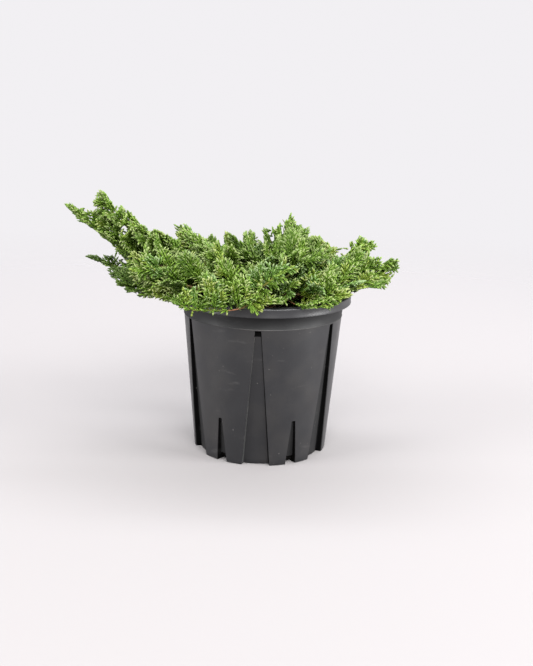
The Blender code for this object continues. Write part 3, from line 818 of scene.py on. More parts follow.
def pot_rings():
    """Rings up the outside of the wall, round the skirt and the rim, and down the inside to the floor."""
    skirt_foot = POT_HEIGHT - SKIRT_HEIGHT
    under_rim = POT_HEIGHT - WALL
    like = wall_ring(skirt_foot)
    rings = [wall_ring(0.0, proud=-FOOT_ROUND), wall_ring(0.0003, proud=-0.4 * FOOT_ROUND)]
    rings += wall_rings((0.0011, *np.linspace(0.006, SHORT_TOP - 0.002, 7)))
    rings += wall_rings(over_ledge(SHORT_TOP, -0.5, 0.0, 0.25, 0.5, 0.75, 1.0, 1.5))
    rings += wall_rings((*np.linspace(SHORT_TOP + 0.006, LONG_TOP - PAINTED_SHADOW_HEIGHT, 14), LONG_TOP - 0.003))
    rings += wall_rings(over_ledge(LONG_TOP, -0.5, 0.0, 0.25, 0.5, 0.75, 1.0))
    rings += [wall_ring(SEAM_HEIGHT + rise, proud=SEAM_PROUD * share) for rise, share in SEAM_RINGS]
    rings += [wall_ring(0.151), wall_ring(under_rim - NECK_ROUND), wall_ring(under_rim, proud=NECK_ROUND)]
    inside = RIM_RADIUS - SKIRT_WALL
    rings += quarter(inside - NECK_ROUND, under_rim - NECK_ROUND, NECK_ROUND, 90, 0, like, 3)
    foot = skirt_foot + SKIRT_ROUND
    rings.append(round_ring(inside, foot, like))
    rings += quarter(inside + SKIRT_ROUND, foot, SKIRT_ROUND, 180, 270, like)
    rings += quarter(RIM_RADIUS - SKIRT_ROUND, foot, SKIRT_ROUND, 270, 360, like)
    rings += [round_ring(RIM_RADIUS - 0.00025, z, like) for z in (skirt_foot + 0.0018, POT_HEIGHT - 0.0022)]
    rings += quarter(RIM_RADIUS - RIM_ROUND, POT_HEIGHT - RIM_ROUND, RIM_ROUND, 0, 90, like, 5)
    rings.append(round_ring(NECK_RADIUS + 0.0014, POT_HEIGHT - 0.0002, like))
    rings += quarter(NECK_RADIUS - WALL + EDGE_ROUND, POT_HEIGHT - EDGE_ROUND, EDGE_ROUND, 90, 180, like)
    rings += wall_rings((0.158, 0.151, *over_ledge(LONG_TOP + WALL, 1.0, 0.5, 0.0)), WALL)
    rings += wall_rings((0.12, 0.09, 0.065, *over_ledge(SHORT_TOP + WALL, 1.0, 0.5, 0.0)), WALL)
    rings += wall_rings((0.03, FLOOR), WALL)
    return rings


def slot_cutter(index):
    """A block through the wall and the floor's edge at the foot of one short panel."""
    turn = FIRST_PANEL_ANGLE + (index + 0.5) * math.tau / SECTORS
    low, high = SLOT_REACH
    mesh = bpy.data.meshes.new("drain_slot")
    shape = bmesh.new()
    bmesh.ops.create_cube(shape, size=1.0)
    for vertex in shape.verts:
        x = (low + high) / 2 + vertex.co.x * (high - low)
        y = vertex.co.y * SLOT_WIDTH
        z = (vertex.co.z + 0.5) * (SLOT_HEIGHT + FLOOR) - FLOOR
        vertex.co = (x * math.cos(turn) - y * math.sin(turn), x * math.sin(turn) + y * math.cos(turn), z)
    shape.to_mesh(mesh)
    shape.free()
    return bpy.data.objects.new("drain_slot", mesh)


def cut(obj, cutters):
    """Takes the cutters out of the object and removes them."""
    helpers = bpy.data.collections.new("helpers")
    bpy.context.scene.collection.children.link(helpers)
    for cutter in cutters:
        helpers.objects.link(cutter)
    boolean = obj.modifiers.new("boolean", "BOOLEAN")
    boolean.operand_type = "COLLECTION"
    boolean.collection = helpers
    boolean.operation = "DIFFERENCE"
    boolean.solver = "EXACT"
    bpy.context.view_layer.update()
    graph = bpy.context.evaluated_depsgraph_get()
    made = bpy.data.meshes.new_from_object(obj.evaluated_get(graph))
    obj.modifiers.clear()
    obj.data = made
    for cutter in cutters:
        bpy.data.objects.remove(cutter)
    bpy.data.collections.remove(helpers)


def pot_zone(centre, normal):
    """The look of a face of the pot: plain on the wall and the front panel; painted shade in the other
    panels and on the band under the rim; painted shadow, near black, in the panels' tops, in their side
    walls and in the far sides of the long panels; painted highlight on the seam line and on one side wall of
    the front panel; and a lighter, glossier plastic on the rim, a painted highlight."""
    reach = math.hypot(centre.x, centre.y)
    proud = reach - wall_radius(centre.z)
    outward = (normal.x * centre.x + normal.y * centre.y) / reach if reach else 0.0
    # painted highlight on the seam line
    if abs(centre.z - SEAM_HEIGHT) < SEAM_REACH and proud > SEAM_OUT:
        return PAINTED_HIGHLIGHT
    # the rim and its skirt: painted highlight
    if proud > SKIRT_OUT and centre.z > POT_HEIGHT - SKIRT_HEIGHT - SKIRT_REACH:
        return PAINTED_RIM_HIGHLIGHT
    # painted shade on the outward band under the rim
    if centre.z > SEAM_HEIGHT and outward > FACING_OUT:
        return PAINTED_SHADE
    if centre.z > LONG_TOP + LEDGE or proud > PANEL_OUT or outward < -FACING_OUT:
        return PLAIN
    # painted shadow in the top of each panel, under its ledge
    if centre.z > LONG_TOP - PAINTED_SHADOW_HEIGHT:
        return PAINTED_SHADOW
    across = (normal.y * centre.x - normal.x * centre.y) / reach
    sector = math.tau / SECTORS
    turn = math.remainder(math.atan2(centre.y, centre.x) - FIRST_PANEL_ANGLE, math.tau)
    middle = round(turn / sector) * sector
    at_front = abs(turn) < FRONT_TURN
    # side walls: painted highlight on one of the front panel's, painted shadow on all the others
    if abs(across) > FACING_ACROSS:
        return PAINTED_HIGHLIGHT if at_front and across > 0 else PAINTED_SHADOW
    if at_front:
        return PLAIN
    # painted shadow on the far side of a long panel's floor, painted shade on the rest
    half = panel_shape(centre.z, LONG_TOP, LONG_WIDTHS, LONG_DEPTHS)[0] / reach
    far_side = (turn - middle) * math.copysign(1.0, turn) / half
    return PAINTED_SHADOW if far_side > SHADED_SHARE and abs(turn - middle) < sector / 4 else PAINTED_SHADE


def make_pot():
    pot = add_object("pot_shell", mesh_of("pot_shell", *skin_of(pot_rings())))
    cut(pot, [slot_cutter(index) for index in range(SECTORS)])
    pot.data.materials.clear()
    for look in POT_LOOKS:
        pot.data.materials.append(pot_plastic(*look))
    for face in pot.data.polygons:
        face.material_index = pot_zone(face.center, face.normal)
    pot.data.shade_smooth()
    pot.data.set_sharp_from_angle(angle=math.radians(40))
    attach(pot, "root")
    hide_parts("pot")


# The potting mix

def soil_height(x, y):
    """The height of the mix at that place: a low crown, with lumps."""
    reach = math.hypot(x, y)
    share = min(max((0.97 * NECK_RADIUS - reach) / (0.4 * NECK_RADIUS), 0.0), 1.0)
    lumps = math.sin(310 * x + 1.3) * math.sin(270 * y + 0.4) + 0.6 * math.sin(620 * x + 500 * y)
    return SOIL_TOP - MIX_DROP + eased(share, SOIL_CROWN) + LUMP_HEIGHT * lumps


def make_mix(rng):
    offset = WALL + MIX_GAP
    short_inside = SHORT_TOP + offset
    rings = wall_rings((FLOOR + GAP, short_inside - LEDGE, short_inside + 2 * LEDGE, 0.100), offset)
    edge = wall_ring(SOIL_TOP, offset, section_z=LONG_TOP - LEDGE)
    rings.append([(x, y, soil_height(x, y) - MIX_EDGE_DROP) for x, y, _ in edge])
    for share in MIX_SHARES:
        ring = []
        for x, y, _ in edge:
            x, y = x * share, y * share
            ring.append((x, y, soil_height(x, y) + rng.uniform(-CRUMB_HEIGHT, CRUMB_HEIGHT)))
        rings.append(ring)
    surface = add_object("mix_surface", mesh_of("mix_surface", *skin_of(rings)), grainy("mix_brown"))
    surface.data.shade_smooth()
    surface.data.set_sharp_from_angle(angle=math.radians(50))
    chips = grains("mix_chips", rng, CHIPS, chip_shape, "bark_chip")
    grit = grains("mix_perlite", rng, PERLITE_GRAINS, perlite_shape, "perlite")
    for piece in (surface, chips, grit):
        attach(piece, "root")
        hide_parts("potting_mix")


def chip_shape(rng):
    """A splinter of bark: a box with uneven, narrowed ends."""
    long, wide, thick = (rng.uniform(*sizes) for sizes in CHIP_SIZES)
    points = []
    for x in (-1, 1):
        narrow = rng.uniform(0.35, 1.0)
        for y, z in ((-1, -1), (1, -1), (1, 1), (-1, 1)):
            jitter = [rng.uniform(0.8, 1.15) for _ in range(3)]
            corner = x * long / 2 * jitter[0], y * wide / 2 * narrow * jitter[1], z * thick / 2 * jitter[2]
            points.append(corner)
    quads = ((3, 2, 1, 0), (4, 5, 6, 7), (0, 1, 5, 4), (1, 2, 6, 5), (2, 3, 7, 6), (3, 0, 4, 7))
    return points, [tri for a, b, c, d in quads for tri in ((a, b, c), (a, c, d))]


def perlite_shape(rng):
    """A rounded white grain."""
    shape = bmesh.new()
    bmesh.ops.create_icosphere(shape, subdivisions=1, radius=rng.uniform(*PERLITE_SIZES))
    points = [tuple(vertex.co * rng.uniform(0.75, 1.15)) for vertex in shape.verts]
    triangles = [tuple(vertex.index for vertex in face.verts) for face in shape.faces]
    shape.free()
    return points, triangles


def grains(name, rng, count, shape_of, look):
    """Many grains strewn over the mix, clear of the pot's wall, as one piece."""
    points, triangles = [], []
    for _ in range(count):
        shape, faces = shape_of(rng)
        size = max(math.hypot(x, y) for x, y, _ in shape)
        reach = (NECK_RADIUS - GRAIN_MARGIN - size) * math.sqrt(rng.random())
        turn = rng.uniform(0, math.tau)
        x, y = reach * math.cos(turn), reach * math.sin(turn)
        place = Vector((x, y, soil_height(x, y) + rng.uniform(*GRAIN_RISES)))
        spin = Matrix.Rotation(rng.uniform(0, math.tau), 3, "Z")
        across, along = (Matrix.Rotation(rng.gauss(0, tilt), 3, axis) for axis, tilt in GRAIN_TILTS)
        spin = across @ along @ spin
        first = len(points)
        points += [tuple(place + spin @ Vector(p)) for p in shape]
        triangles += [tuple(first + k for k in face) for face in faces]
    return add_triangles(name, points, triangles, [grainy(look)])


# The limbs

def trunk_at(height):
    """The trunk's centre line and radius, that far above its foot."""
    radius = float(np.interp(height, *zip(*TRUNK_RINGS)))
    return Vector((TRUNK_LEAN.x * height, TRUNK_LEAN.y * height, TRUNK_FOOT + height)), radius


def direction(compass, climb):
    """The unit vector with that compass angle and that climb, both in degrees."""
    turn, rise = math.radians(compass), math.radians(climb)
    return Vector((math.cos(rise) * math.cos(turn), math.cos(rise) * math.sin(turn), math.sin(rise)))


def bough_line(row, steps=64):
    """Points along a whole bough and its plume, from the trunk's bark to the tip: a cubic curve."""
    _, level, compass, climb, tip_compass, reach, tip_height, heading, slope = row
    centre, radius = trunk_at(LEVELS[level])
    start = centre + direction(compass, 0) * (radius + BARK_OFF)
    tip = direction(tip_compass, 0) * reach
    tip.z = tip_height
    span = (tip - start).length
    leave = start + direction(compass, climb) * span * LEAVE_SHARE
    arrive = tip - direction(heading, slope) * span * ARRIVE_SHARE
    t = np.linspace(0, 1, steps + 1)[:, None]
    u = 1 - t
    ends = [np.array(point) for point in (start, leave, arrive, tip)]
    return u**3 * ends[0] + 3 * u * u * t * ends[1] + 3 * u * t * t * ends[2] + t**3 * ends[3]


def lengths_along(line):
    return np.concatenate(([0.0], np.cumsum(np.linalg.norm(np.diff(line, axis=0), axis=1))))


def length_of(line):
    return lengths_along(line)[-1]


def points_at(line, wanted):
    """The line's points at those distances along it."""
    total = lengths_along(line)
    return np.stack([np.interp(wanted, total, line[:, axis]) for axis in range(3)], axis=1)


def unit(vectors):
    return vectors / np.linalg.norm(vectors, axis=-1, keepdims=True)


def beside(ahead):
    """Level unit directions to the side of the directions ahead."""
    return unit(np.cross(ahead, (0.0, 0.0, 1.0)))


def leaning(ahead, out, angles):
    """The directions ahead, each turned towards its direction out by that many degrees."""
    turns = np.radians(angles)
    return unit(ahead * np.cos(turns)[:, None] + out * np.sin(turns)[:, None])


def relief(turn, along, seed, ridges):
    """How far bark stands out, from -1 to 1, with fissures that run along the limb and wander."""
    wander = 0.5 * np.sin(9 * along * 60 + seed) + 0.3 * np.sin(23 * along * 60 + 2 * seed)
    coarse = np.abs(np.sin(ridges * turn / 2 + wander + seed))
    fine = np.sin(2 * ridges * turn + 3 * wander + 1.7 * seed) * np.sin(420 * along + seed)
    return 1.3 * coarse - 0.8 + 0.3 * fine


def tube(line, radii, sides, bark=0.0, ridges=5, seed=0.0):
    """Points and triangles of a tube along the line, closed at both ends, with bark relief of that depth."""
    ahead = unit(np.gradient(line, axis=0))
    side = beside(ahead)
    up = np.cross(side, ahead)
    turns = np.linspace(0, math.tau, sides, endpoint=False)
    total = lengths_along(line)
    radius = np.asarray(radii)[:, None]
    if bark:
        radius = radius + bark * relief(turns[None, :], total[:, None], seed, ridges)
    else:
        radius = np.repeat(radius, sides, axis=1)
    around = side[:, None, :] * np.cos(turns)[None, :, None] + up[:, None, :] * np.sin(turns)[None, :, None]
    points = (line[:, None, :] + around * radius[:, :, None]).reshape(-1, 3)
    rings = len(line)
    level = np.arange(rings - 1)[:, None] * sides
    i = np.arange(sides)[None, :]
    a, b = level + i, level + (i + 1) % sides
    c, d = b + sides, a + sides
    walls = np.concatenate([np.stack((a, c, b), -1).reshape(-1, 3), np.stack((a, d, c), -1).reshape(-1, 3)])
    ends = len(points)
    points = np.concatenate([points, line[:1], line[-1:]])
    i = np.arange(sides)
    j = (i + 1) % sides
    last = (rings - 1) * sides
    foot = np.stack((i, j, np.full(sides, ends)), -1)
    tip = np.stack((last + j, last + i, np.full(sides, ends + 1)), -1)
    return points, np.concatenate([walls, foot, tip])


def joined(parts):
    """Several (points, triangles) pairs as one."""
    shift, points, triangles = 0, [], []
    for some_points, some_triangles in parts:
        points.append(some_points)
        triangles.append(some_triangles + shift)
        shift += len(some_points)
    return np.concatenate(points), np.concatenate(triangles)


def trunk_parts():
    heights = np.linspace(0, TRUNK_RINGS[-1][0], 46)
    line = np.array([list(trunk_at(height)[0]) for height in heights])
    turns = np.linspace(0, math.tau, 56, endpoint=False)
    points = []
    for height, centre in zip(heights, line):
        radius = trunk_at(height)[1]
        flare = 1 + ROOT_FLARE * np.cos(3 * turns + 0.5) * (radius / TRUNK_RINGS[0][1]) ** 3
        out = radius * flare + TRUNK_RELIEF * relief(turns, np.full_like(turns, height), 0.7, 9) - 0.0002
        ring = np.stack((centre[0] + out * np.cos(turns), centre[1] + out * np.sin(turns),
                         np.full_like(turns, centre[2])), -1)
        points.append([tuple(p) for p in ring])
    all_points, faces = skin_of(points)
    triangles = [(f[0], f[k], f[k + 1]) for f in faces for k in range(1, len(f) - 1)]
    return np.array(all_points), np.array(triangles)


def bough_parts(index, row, line):
    """A bough's bark tube, which starts inside the trunk and swells there into a collar."""
    centre, _ = trunk_at(LEVELS[row[1]])
    inside = np.array(line[0]) * 0.45 + np.array(centre) * 0.55
    wanted = np.linspace(0, BOUGH_LENGTH + 0.0012, 44)
    path = np.concatenate([inside[None, :], points_at(line, wanted)])
    along = np.concatenate([[0.0], wanted])
    radii = mix(BOUGH_RADII, along / BOUGH_LENGTH) + COLLAR * np.exp(-along / COLLAR_LENGTH)
    return tube(path, radii, 18, BOUGH_RELIEF, 5, index * 1.7)


def make_limbs(lines):
    parts = [trunk_parts()]
    parts += [bough_parts(index, row, line) for index, (row, line) in enumerate(zip(BOUGHS, lines))]
    limbs = add_triangles("limbs_bark", *joined(parts), [grainy("bark")])
    limbs.data.shade_smooth()
    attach(limbs, "root")
    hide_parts("trunk", *["bough_" + row[0] for row in BOUGHS])


# The sprays

class Spaces:
    """Tells how much nearer a spray's points are to their own bough's line than to any other line."""

    def __init__(self, lines):
        self.points = [points_at(line, np.arange(0, length_of(line), 0.002)) for line in lines]

    @staticmethod
    def nearest(samples, points):
        return np.linalg.norm(samples[:, None, :] - points[None, :, :], axis=2).min(axis=1)

    def keeps(self, owner, samples):
        own = self.nearest(samples, self.points[owner])
        others = np.concatenate([points for index, points in enumerate(self.points) if index != owner])
        return bool((own < self.nearest(samples, others) + SPACE_SLACK).all())


def clear_of_pot(points):
    """True for each point that lies outside the pot's wall and over the mix."""
    reach = np.hypot(points[:, 0], points[:, 1])
    height = points[:, 2]
    inside = NECK_RADIUS - WALL - POT_MARGIN
    in_pot = (reach < RIM_RADIUS + POT_MARGIN) & (reach > inside) & (height < POT_HEIGHT + POT_MARGIN)
    in_mix = (reach <= inside) & (height < SOIL_TOP + SOIL_CROWN + POT_MARGIN)
    low, high = (np.array(corner) for corner in cad_box)
    in_box = ((points > low) & (points < high)).all(axis=1)
    return in_box & ~in_pot & ~in_mix


def picture_view():
    """The photograph's directions to the right, up and ahead, the camera's place, and the picture's scale."""
    right, up, ahead = (np.array(axis) for axis in view_axes())
    return right, up, ahead, np.array(TARGET) - ahead * DISTANCE, LENS / SENSOR * PICTURE[1]


def in_picture(points):
    """Where points appear in the photograph's picture, from its upper left corner."""
    right, up, ahead, camera, scale = picture_view()
    away = points - camera
    scale = scale / (away @ ahead)
    return PICTURE[0] / 2 + away @ right * scale, PICTURE[1] / 2 - away @ up * scale


def from_picture(x, y, depth):
    """The point at that depth, in millimetres along Y, that appears at that place in the picture."""
    right, up, ahead, camera, scale = picture_view()
    way = ahead + right * (x - PICTURE[0] / 2) / scale + up * (PICTURE[1] / 2 - y) / scale
    return camera + way * (depth / 1000 - camera[1]) / way[1]


def in_gaps(x, y, gaps):
    """True for each place in the picture that lies in one of the gaps."""
    found = np.zeros(len(x), bool)
    for middle_x, middle_y, half_width, half_height in gaps:
        found |= ((x - middle_x) / half_width) ** 2 + ((y - middle_y) / half_height) ** 2 < 1
    return found


def within_outline(points):
    """True for each point that, from the front, lies inside the crown's outline and clear of its gaps."""
    x, y = in_picture(points)
    inside = np.zeros(len(points), bool)
    for (x1, y1), (x2, y2) in zip(OUTLINE, OUTLINE[1:] + OUTLINE[:1]):
        if y1 != y2:
            crosses = (y1 > y) != (y2 > y)
            inside ^= crosses & (x < x1 + (y - y1) * (x2 - x1) / (y2 - y1))
    in_front = points[:, 1] < FRONT_DEPTH
    return inside & ~in_gaps(x, y, SKY_GAPS) & ~(in_front & in_gaps(x, y, SHADED_GAPS))


def turned(flat, ahead, angle):
    """The direction flat, turned by degrees about the direction ahead that it is square to."""
    turn = math.radians(angle)
    return unit(flat * math.cos(turn) + np.cross(ahead, flat) * math.sin(turn))


def spray_at(line, at, hand, lift, forward, roll):
    """A spray's root, direction and flat direction, where it leaves a plume's stem."""
    here, beyond = points_at(line, [at, at + 0.002])
    ahead = unit(beyond - here)
    out = turned(beside(ahead) * hand, ahead, -hand * lift)
    heading = unit(ahead * math.cos(math.radians(forward)) + out * math.sin(math.radians(forward)))
    level = unit(np.cross(heading, np.cross(ahead, out)))
    return here, heading, turned(level, heading, roll)


def spray_roots(name, line, rng):
    """A plume's sprays: root, direction, flat direction, full length, share, lift, and if it is placed."""
    whole = length_of(line)
    last = whole - 0.6 * TIP_SPRAY
    count = max(3, round((last - SPRAY_START) / (SPRAY_STEP * SPARSE.get(name, 1.0))))
    lifts = ROW_LIFTS.get(name, SPRAY_LIFTS)
    found = []
    for k in range(count):
        share = (k + 0.5 * rng.random()) / count
        at = mix((SPRAY_START, last), share)
        hand = 1 if k % 2 else -1
        lift = rng.uniform(*lifts[k % len(lifts)])
        forward = SPRAY_FORWARD + rng.uniform(-FORWARD_SPREAD, FORWARD_SPREAD)
        here, heading, flat = spray_at(line, at, hand, lift, forward, rng.uniform(-SPRAY_ROLL, SPRAY_ROLL))
        taper = (0.55 + 0.60 * math.sin(math.pi * (0.25 + 0.75 * share))) * (1 - 0.25 * share)
        if lift > UPRIGHT:
            taper *= UPRIGHT_SHARE
        if lift < DROOPING:
            taper *= DROOP_SHARE
        length = SPRAY_LENGTH * taper * rng.uniform(*SPRAY_LENGTHS)
        found.append((here, heading, flat, length, share, lift, False))
    here, beyond = points_at(line, [whole - TIP_SPRAY, whole])
    ahead = unit(beyond - here)
    flat = turned(beside(ahead), ahead, rng.uniform(*TIP_TURNS))
    found.append((here, ahead, flat, float(np.linalg.norm(beyond - here)), 1.0, 0.0, False))
    for share, hand, lift, forward, length in PLACED_SPRAYS.get(name, ()):
        root = spray_at(line, share * whole, hand, lift, forward, rng.uniform(-PLACED_ROLL, PLACED_ROLL))
        found.append((*root, length / 1000, share, PLACED_LIFT, True))
    return found


class Fan:
    """One flat spray: an axis that curves up a little, with branchlets to both sides in its own plane."""

    def __init__(self, root, heading, flat, length, rise=SPRAY_RISE):
        self.root, self.heading, self.flat, self.length = root, heading, flat, length
        over = np.array((0.0, 0.0, 1.0))
        self.rise = (over - heading * heading[2]) * rise

    def place(self, at):
        at = np.asarray(at)[:, None]
        return self.root + self.heading * at + self.rise * at * at / self.length

    def ahead(self, at):
        at = np.asarray(at)[:, None]
        return unit(self.heading + self.rise * 2 * at / self.length)

    def middle(self):
        """Points along the spray's axis."""
        return self.place(np.array((0.25, 0.5, 0.75, 1.0)) * self.length)

    def samples(self):
        """Points over the spray, for the rule that it keeps to its plume's space."""
        middle = self.middle()
        wide = (np.array((0.20, 0.24, 0.16, 0.0)) * self.length)[:, None] * self.flat
        return np.concatenate([middle, middle + wide, middle - wide])


def cord_triangles(pattern):
    """A cord's triangles, by the numbers of its own points, and which of them narrow towards its tip."""
    shape, narrows = [], []
    for level, (here, beyond) in enumerate(zip(pattern, pattern[1:])):
        for k in range(3):
            a, b = 3 * level + k, 3 * level + (k + 1) % 3
            shape += [(a, b, b + 3), (a, b + 3, a + 3)]
            narrows += [beyond[1] < here[1]] * 2
    top = 3 * (len(pattern) - 1)
    shape += [(top + k, top + (k + 1) % 3, top + 3) for k in range(3)]
    return np.array(shape), np.array(narrows + [False] * 3)


class Cords:
    """Collects leafy cords: short three-sided spindles with stepped sides, each the width of a few leaves."""

    LONG = ((0.0, 0.55), (0.12, 1.0), (0.24, 0.68), (0.40, 1.05), (0.52, 0.70), (0.68, 0.95), (0.78, 0.60))
    SHORT = ((0.0, 0.55), (0.28, 1.08), (0.44, 0.72), (0.68, 0.90))

    def __init__(self):
        self.groups = {self.LONG: [], self.SHORT: []}

    def add(self, pattern, roots, headings, ups, lengths, radii, slot, tip_slot, notch_shade_slot):
        if len(roots) == 0:
            return
        count = len(roots)
        ups = np.broadcast_to(ups, (count, 3))
        single = (np.broadcast_to(value, (count,)) for value in (lengths, radii, slot, tip_slot, notch_shade_slot))
        self.groups[pattern].append((roots, headings, ups, *single))

    def parts(self):
        """Points, triangles and material slots of all the cords."""
        shift, points, triangles, slots = 0, [], [], []
        for pattern, rows in self.groups.items():
            if not rows:
                continue
            columns = [np.concatenate(column) for column in zip(*rows)]
            roots, ahead, _, lengths = columns[:4]
            tips = roots + ahead * lengths[:, None]
            shown = within_outline(roots + ahead * (CORD_SHOWN * lengths)[:, None])
            keep = clear_of_pot(tips) & clear_of_pot(roots) & shown
            roots, ahead, ups, lengths, radii, slot, tip, step = (column[keep] for column in columns)
            side = unit(np.cross(ups, ahead))
            up = np.cross(ahead, side)
            rings = []
            for level, (along, wide) in enumerate(pattern):
                middle = roots + ahead * (along * lengths)[:, None]
                for k in range(3):
                    turn = math.tau * k / 3 + (CORD_TWIST if level % 2 else 0.0) + math.pi / 2
                    out = side * math.cos(turn) + up * math.sin(turn)
                    rings.append(middle + out * (wide * radii)[:, None])
            rings.append(tips[keep])
            body = np.stack(rings, axis=1)
            shape, narrows = cord_triangles(pattern)
            first = shift + np.arange(len(body))[:, None, None] * body.shape[1]
            points.append(body.reshape(-1, 3))
            triangles.append((first + shape[None]).reshape(-1, 3))
            at_tip = np.arange(len(shape)) >= len(shape) - TIP_TRIANGLES
            dealt = np.where(at_tip[None, :], tip[:, None], slot[:, None])
            # the faces where a cord narrows take the inner green: painted shade in the notches between scales
            slots.append(np.where(narrows[None, :], step[:, None], dealt).ravel())
            shift += body.shape[0] * body.shape[1]
        return np.concatenate(points), np.concatenate(triangles), np.concatenate(slots)


def leaf_fan(cords, fan, green, rng):
    """Adds one spray's cords: its axis, branchlets to both sides, and leafy tips on those."""
    length = fan.length
    count = max(5, round(length / BRANCH_STEP))
    inner, outer, tip = 3 * green, 3 * green + 1, 3 * green + 2
    odd = np.where(rng.random(count) < ODD_SHARE, rng.integers(-1, 2, count), 0)
    own = 3 * np.clip(green + odd, 0, len(LEAF_COLOURS) - 1)
    first, span = BRANCH_SPAN
    shares = (np.arange(count) + rng.random(count) * 0.5) / count * span + first
    at = shares * length
    roots, ahead = fan.place(at), fan.ahead(at)
    normal = unit(np.cross(ahead, fan.flat))
    hands = np.where(np.arange(count) % 2, 1.0, -1.0)
    angle = BRANCH_ANGLE + 10 * (0.5 - shares) + rng.uniform(-BRANCH_SPREAD, BRANCH_SPREAD, count)
    tilt = rng.normal(0, BRANCH_TILT, count)
    aside = unit(fan.flat * hands[:, None] + normal * tilt[:, None])
    heading = leaning(ahead, aside, angle)
    lengths = np.interp(shares, *BRANCH_LENGTHS) * length * rng.uniform(*BRANCH_VARIETY, count)
    lengths = np.maximum(lengths, SHORTEST_BRANCH)
    cords.add(cords.LONG, roots, heading, normal, lengths, CORD_RADIUS, own, own + 1, own)
    at = np.arange(0.20 * length, length - 0.003, AXIS_STEP)
    size = SHORTEST_BRANCH, CORD_RADIUS * AXIS_SWELL
    cords.add(cords.SHORT, fan.place(at), fan.ahead(at), fan.flat, *size, inner, outer, inner)
    end, size = fan.place([length - CORD_LENGTHS[0]]), (CORD_LENGTHS[0], CORD_RADIUS)
    cords.add(cords.SHORT, end, fan.ahead([length]), fan.flat, *size, outer, tip, inner)
    most = int(lengths.max() / LEAF_STEP)
    for k in range(most):
        reach = 0.0012 + LEAF_STEP * (k + rng.random(count) * 0.3)
        some = reach < lengths - 0.0012
        if not some.any():
            break
        hand = 1.0 if k % 2 else -1.0
        number = int(some.sum())
        place = roots[some] + heading[some] * reach[some][:, None]
        within = unit(np.cross(normal[some], heading[some]))
        out = unit(within * hand + normal[some] * rng.normal(0, LEAF_TILT, number)[:, None])
        way = leaning(heading[some], out, LEAF_ANGLE + rng.uniform(-LEAF_SPREAD, LEAF_SPREAD, number))
        size = np.clip(0.55 * (lengths[some] - reach[some]) + 0.0042, *CORD_LENGTHS)
        size = size * rng.uniform(*CORD_VARIETY, number)
        # cords near the spray's core take the inner green, painted shade; some others at random are darker or
        # paler
        core = (reach[some] < DARK_INSIDE[0] * lengths[some]) & (shares[some] < DARK_INSIDE[1])
        chance = rng.random(number)
        shade = np.where(core | (chance < DARK_CORDS), 0, 1)
        shade = shade + np.where(~core & (chance > 1 - PALE_CORDS), 1, 0)
        body = own[some] + shade
        end = own[some] + np.minimum(shade + 1, 2)
        cords.add(cords.SHORT, place, way, normal[some], size, CORD_RADIUS, body, end, own[some])


def leafy_stem(cords, line, first, step, green, rng):
    """Adds the cords that clothe the outer part of a stem, leaning forward all round it."""
    whole = length_of(line)
    at = np.arange(first, whole - STEM_END, step)
    count = len(at)
    roots = points_at(line, at)
    ahead = unit(points_at(line, at + 0.002) - roots)
    side = beside(ahead)
    up = np.cross(side, ahead)
    turn = rng.uniform(0, math.tau, count)[:, None]
    out = side * np.cos(turn) + up * np.sin(turn)
    heading = leaning(ahead, out, rng.uniform(*STEM_CORD_LEANS, count))
    lengths = rng.uniform(*STEM_CORD_LENGTHS, count)
    inner = 3 * green
    cords.add(cords.SHORT, roots, heading, out, lengths, CORD_RADIUS, inner, inner + 1, inner)
    tip = points_at(line, [whole - STEM_TIP])
    size = STEM_TIP, CORD_RADIUS
    cords.add(cords.LONG, tip, unit(line[-1:] - tip), out[:1], *size, inner + 1, inner + 2, inner)


def green_of(name, share, lift, rng):
    """The green of one spray: deeper when it hangs and near the plume's foot, fresher at the tips, a few
    bluish or yellowish; painted shade on some boughs and painted light on others.
    """
    odd = rng.random()
    # painted shade: the darkest green for sprays that lie in shade
    if name == "left_low" or (name == "left_front" and share > 0.62):
        return SHADE
    if odd < BLUE_BELOW:
        return BLUE
    if odd < YELLOW_BELOW:
        return YELLOW
    value = FRESH_AT_FOOT + FRESH_BY_SHARE * share + LIGHTER_BY_LIFT * lift + rng.gauss(0, FRESH_SPREAD)
    # painted light and painted shade by bough
    value += PAINTED_LIGHT_AND_SHADE.get(name, 0.0)
    return (SHADE, DEEP, MID, FRESH)[int(np.clip(value * 4, 0, 3.99))]


def curve_through(places, steps=6):
    """A smooth line through the places."""
    ends = np.concatenate([2 * places[:1] - places[1:2], places, 2 * places[-1:] - places[-2:-1]])
    t = np.linspace(0, 1, steps, endpoint=False)[:, None]
    parts = []
    for a, b, c, d in zip(ends, ends[1:], ends[2:], ends[3:]):
        bend = (c - a) * t + (2 * a - 5 * b + 4 * c - d) * t**2 + (3 * b - a - 3 * c + d) * t**3
        parts.append(b + 0.5 * bend)
    return np.concatenate([*parts, places[-1:]])


def share_point(line, share):
    return points_at(line, [share * length_of(line)])


def side_stems(lines):
    """The lines of all boughs and side stems, by name."""
    carriers = {row[0]: line for row, line in zip(BOUGHS, lines)}
    for stem, _, carrier, share, _, _, _, places in SIDE_STEMS:
        start = share_point(carriers[carrier], share)
        carriers[stem] = curve_through(np.concatenate([start, [from_picture(*place) for place in places]]))
    return carriers


def side_stem_parts(name, carriers):
    """The side stems of one plume, each in stretches with the colours of its bark."""
    parts = []
    for stem, owner, _, _, slots, thick, _, _ in SIDE_STEMS:
        if owner != name:
            continue
        line = carriers[stem]
        whole = length_of(line)
        for k, slot in enumerate(slots):
            wanted = np.linspace(whole * k / len(slots), whole * (k + 1) / len(slots), 9)
            stretch = tube(points_at(line, wanted), mix(thick, wanted / whole), 7, SIDE_STEM_RELIEF, 3, k)
            parts.append((*stretch, slot))
    return parts


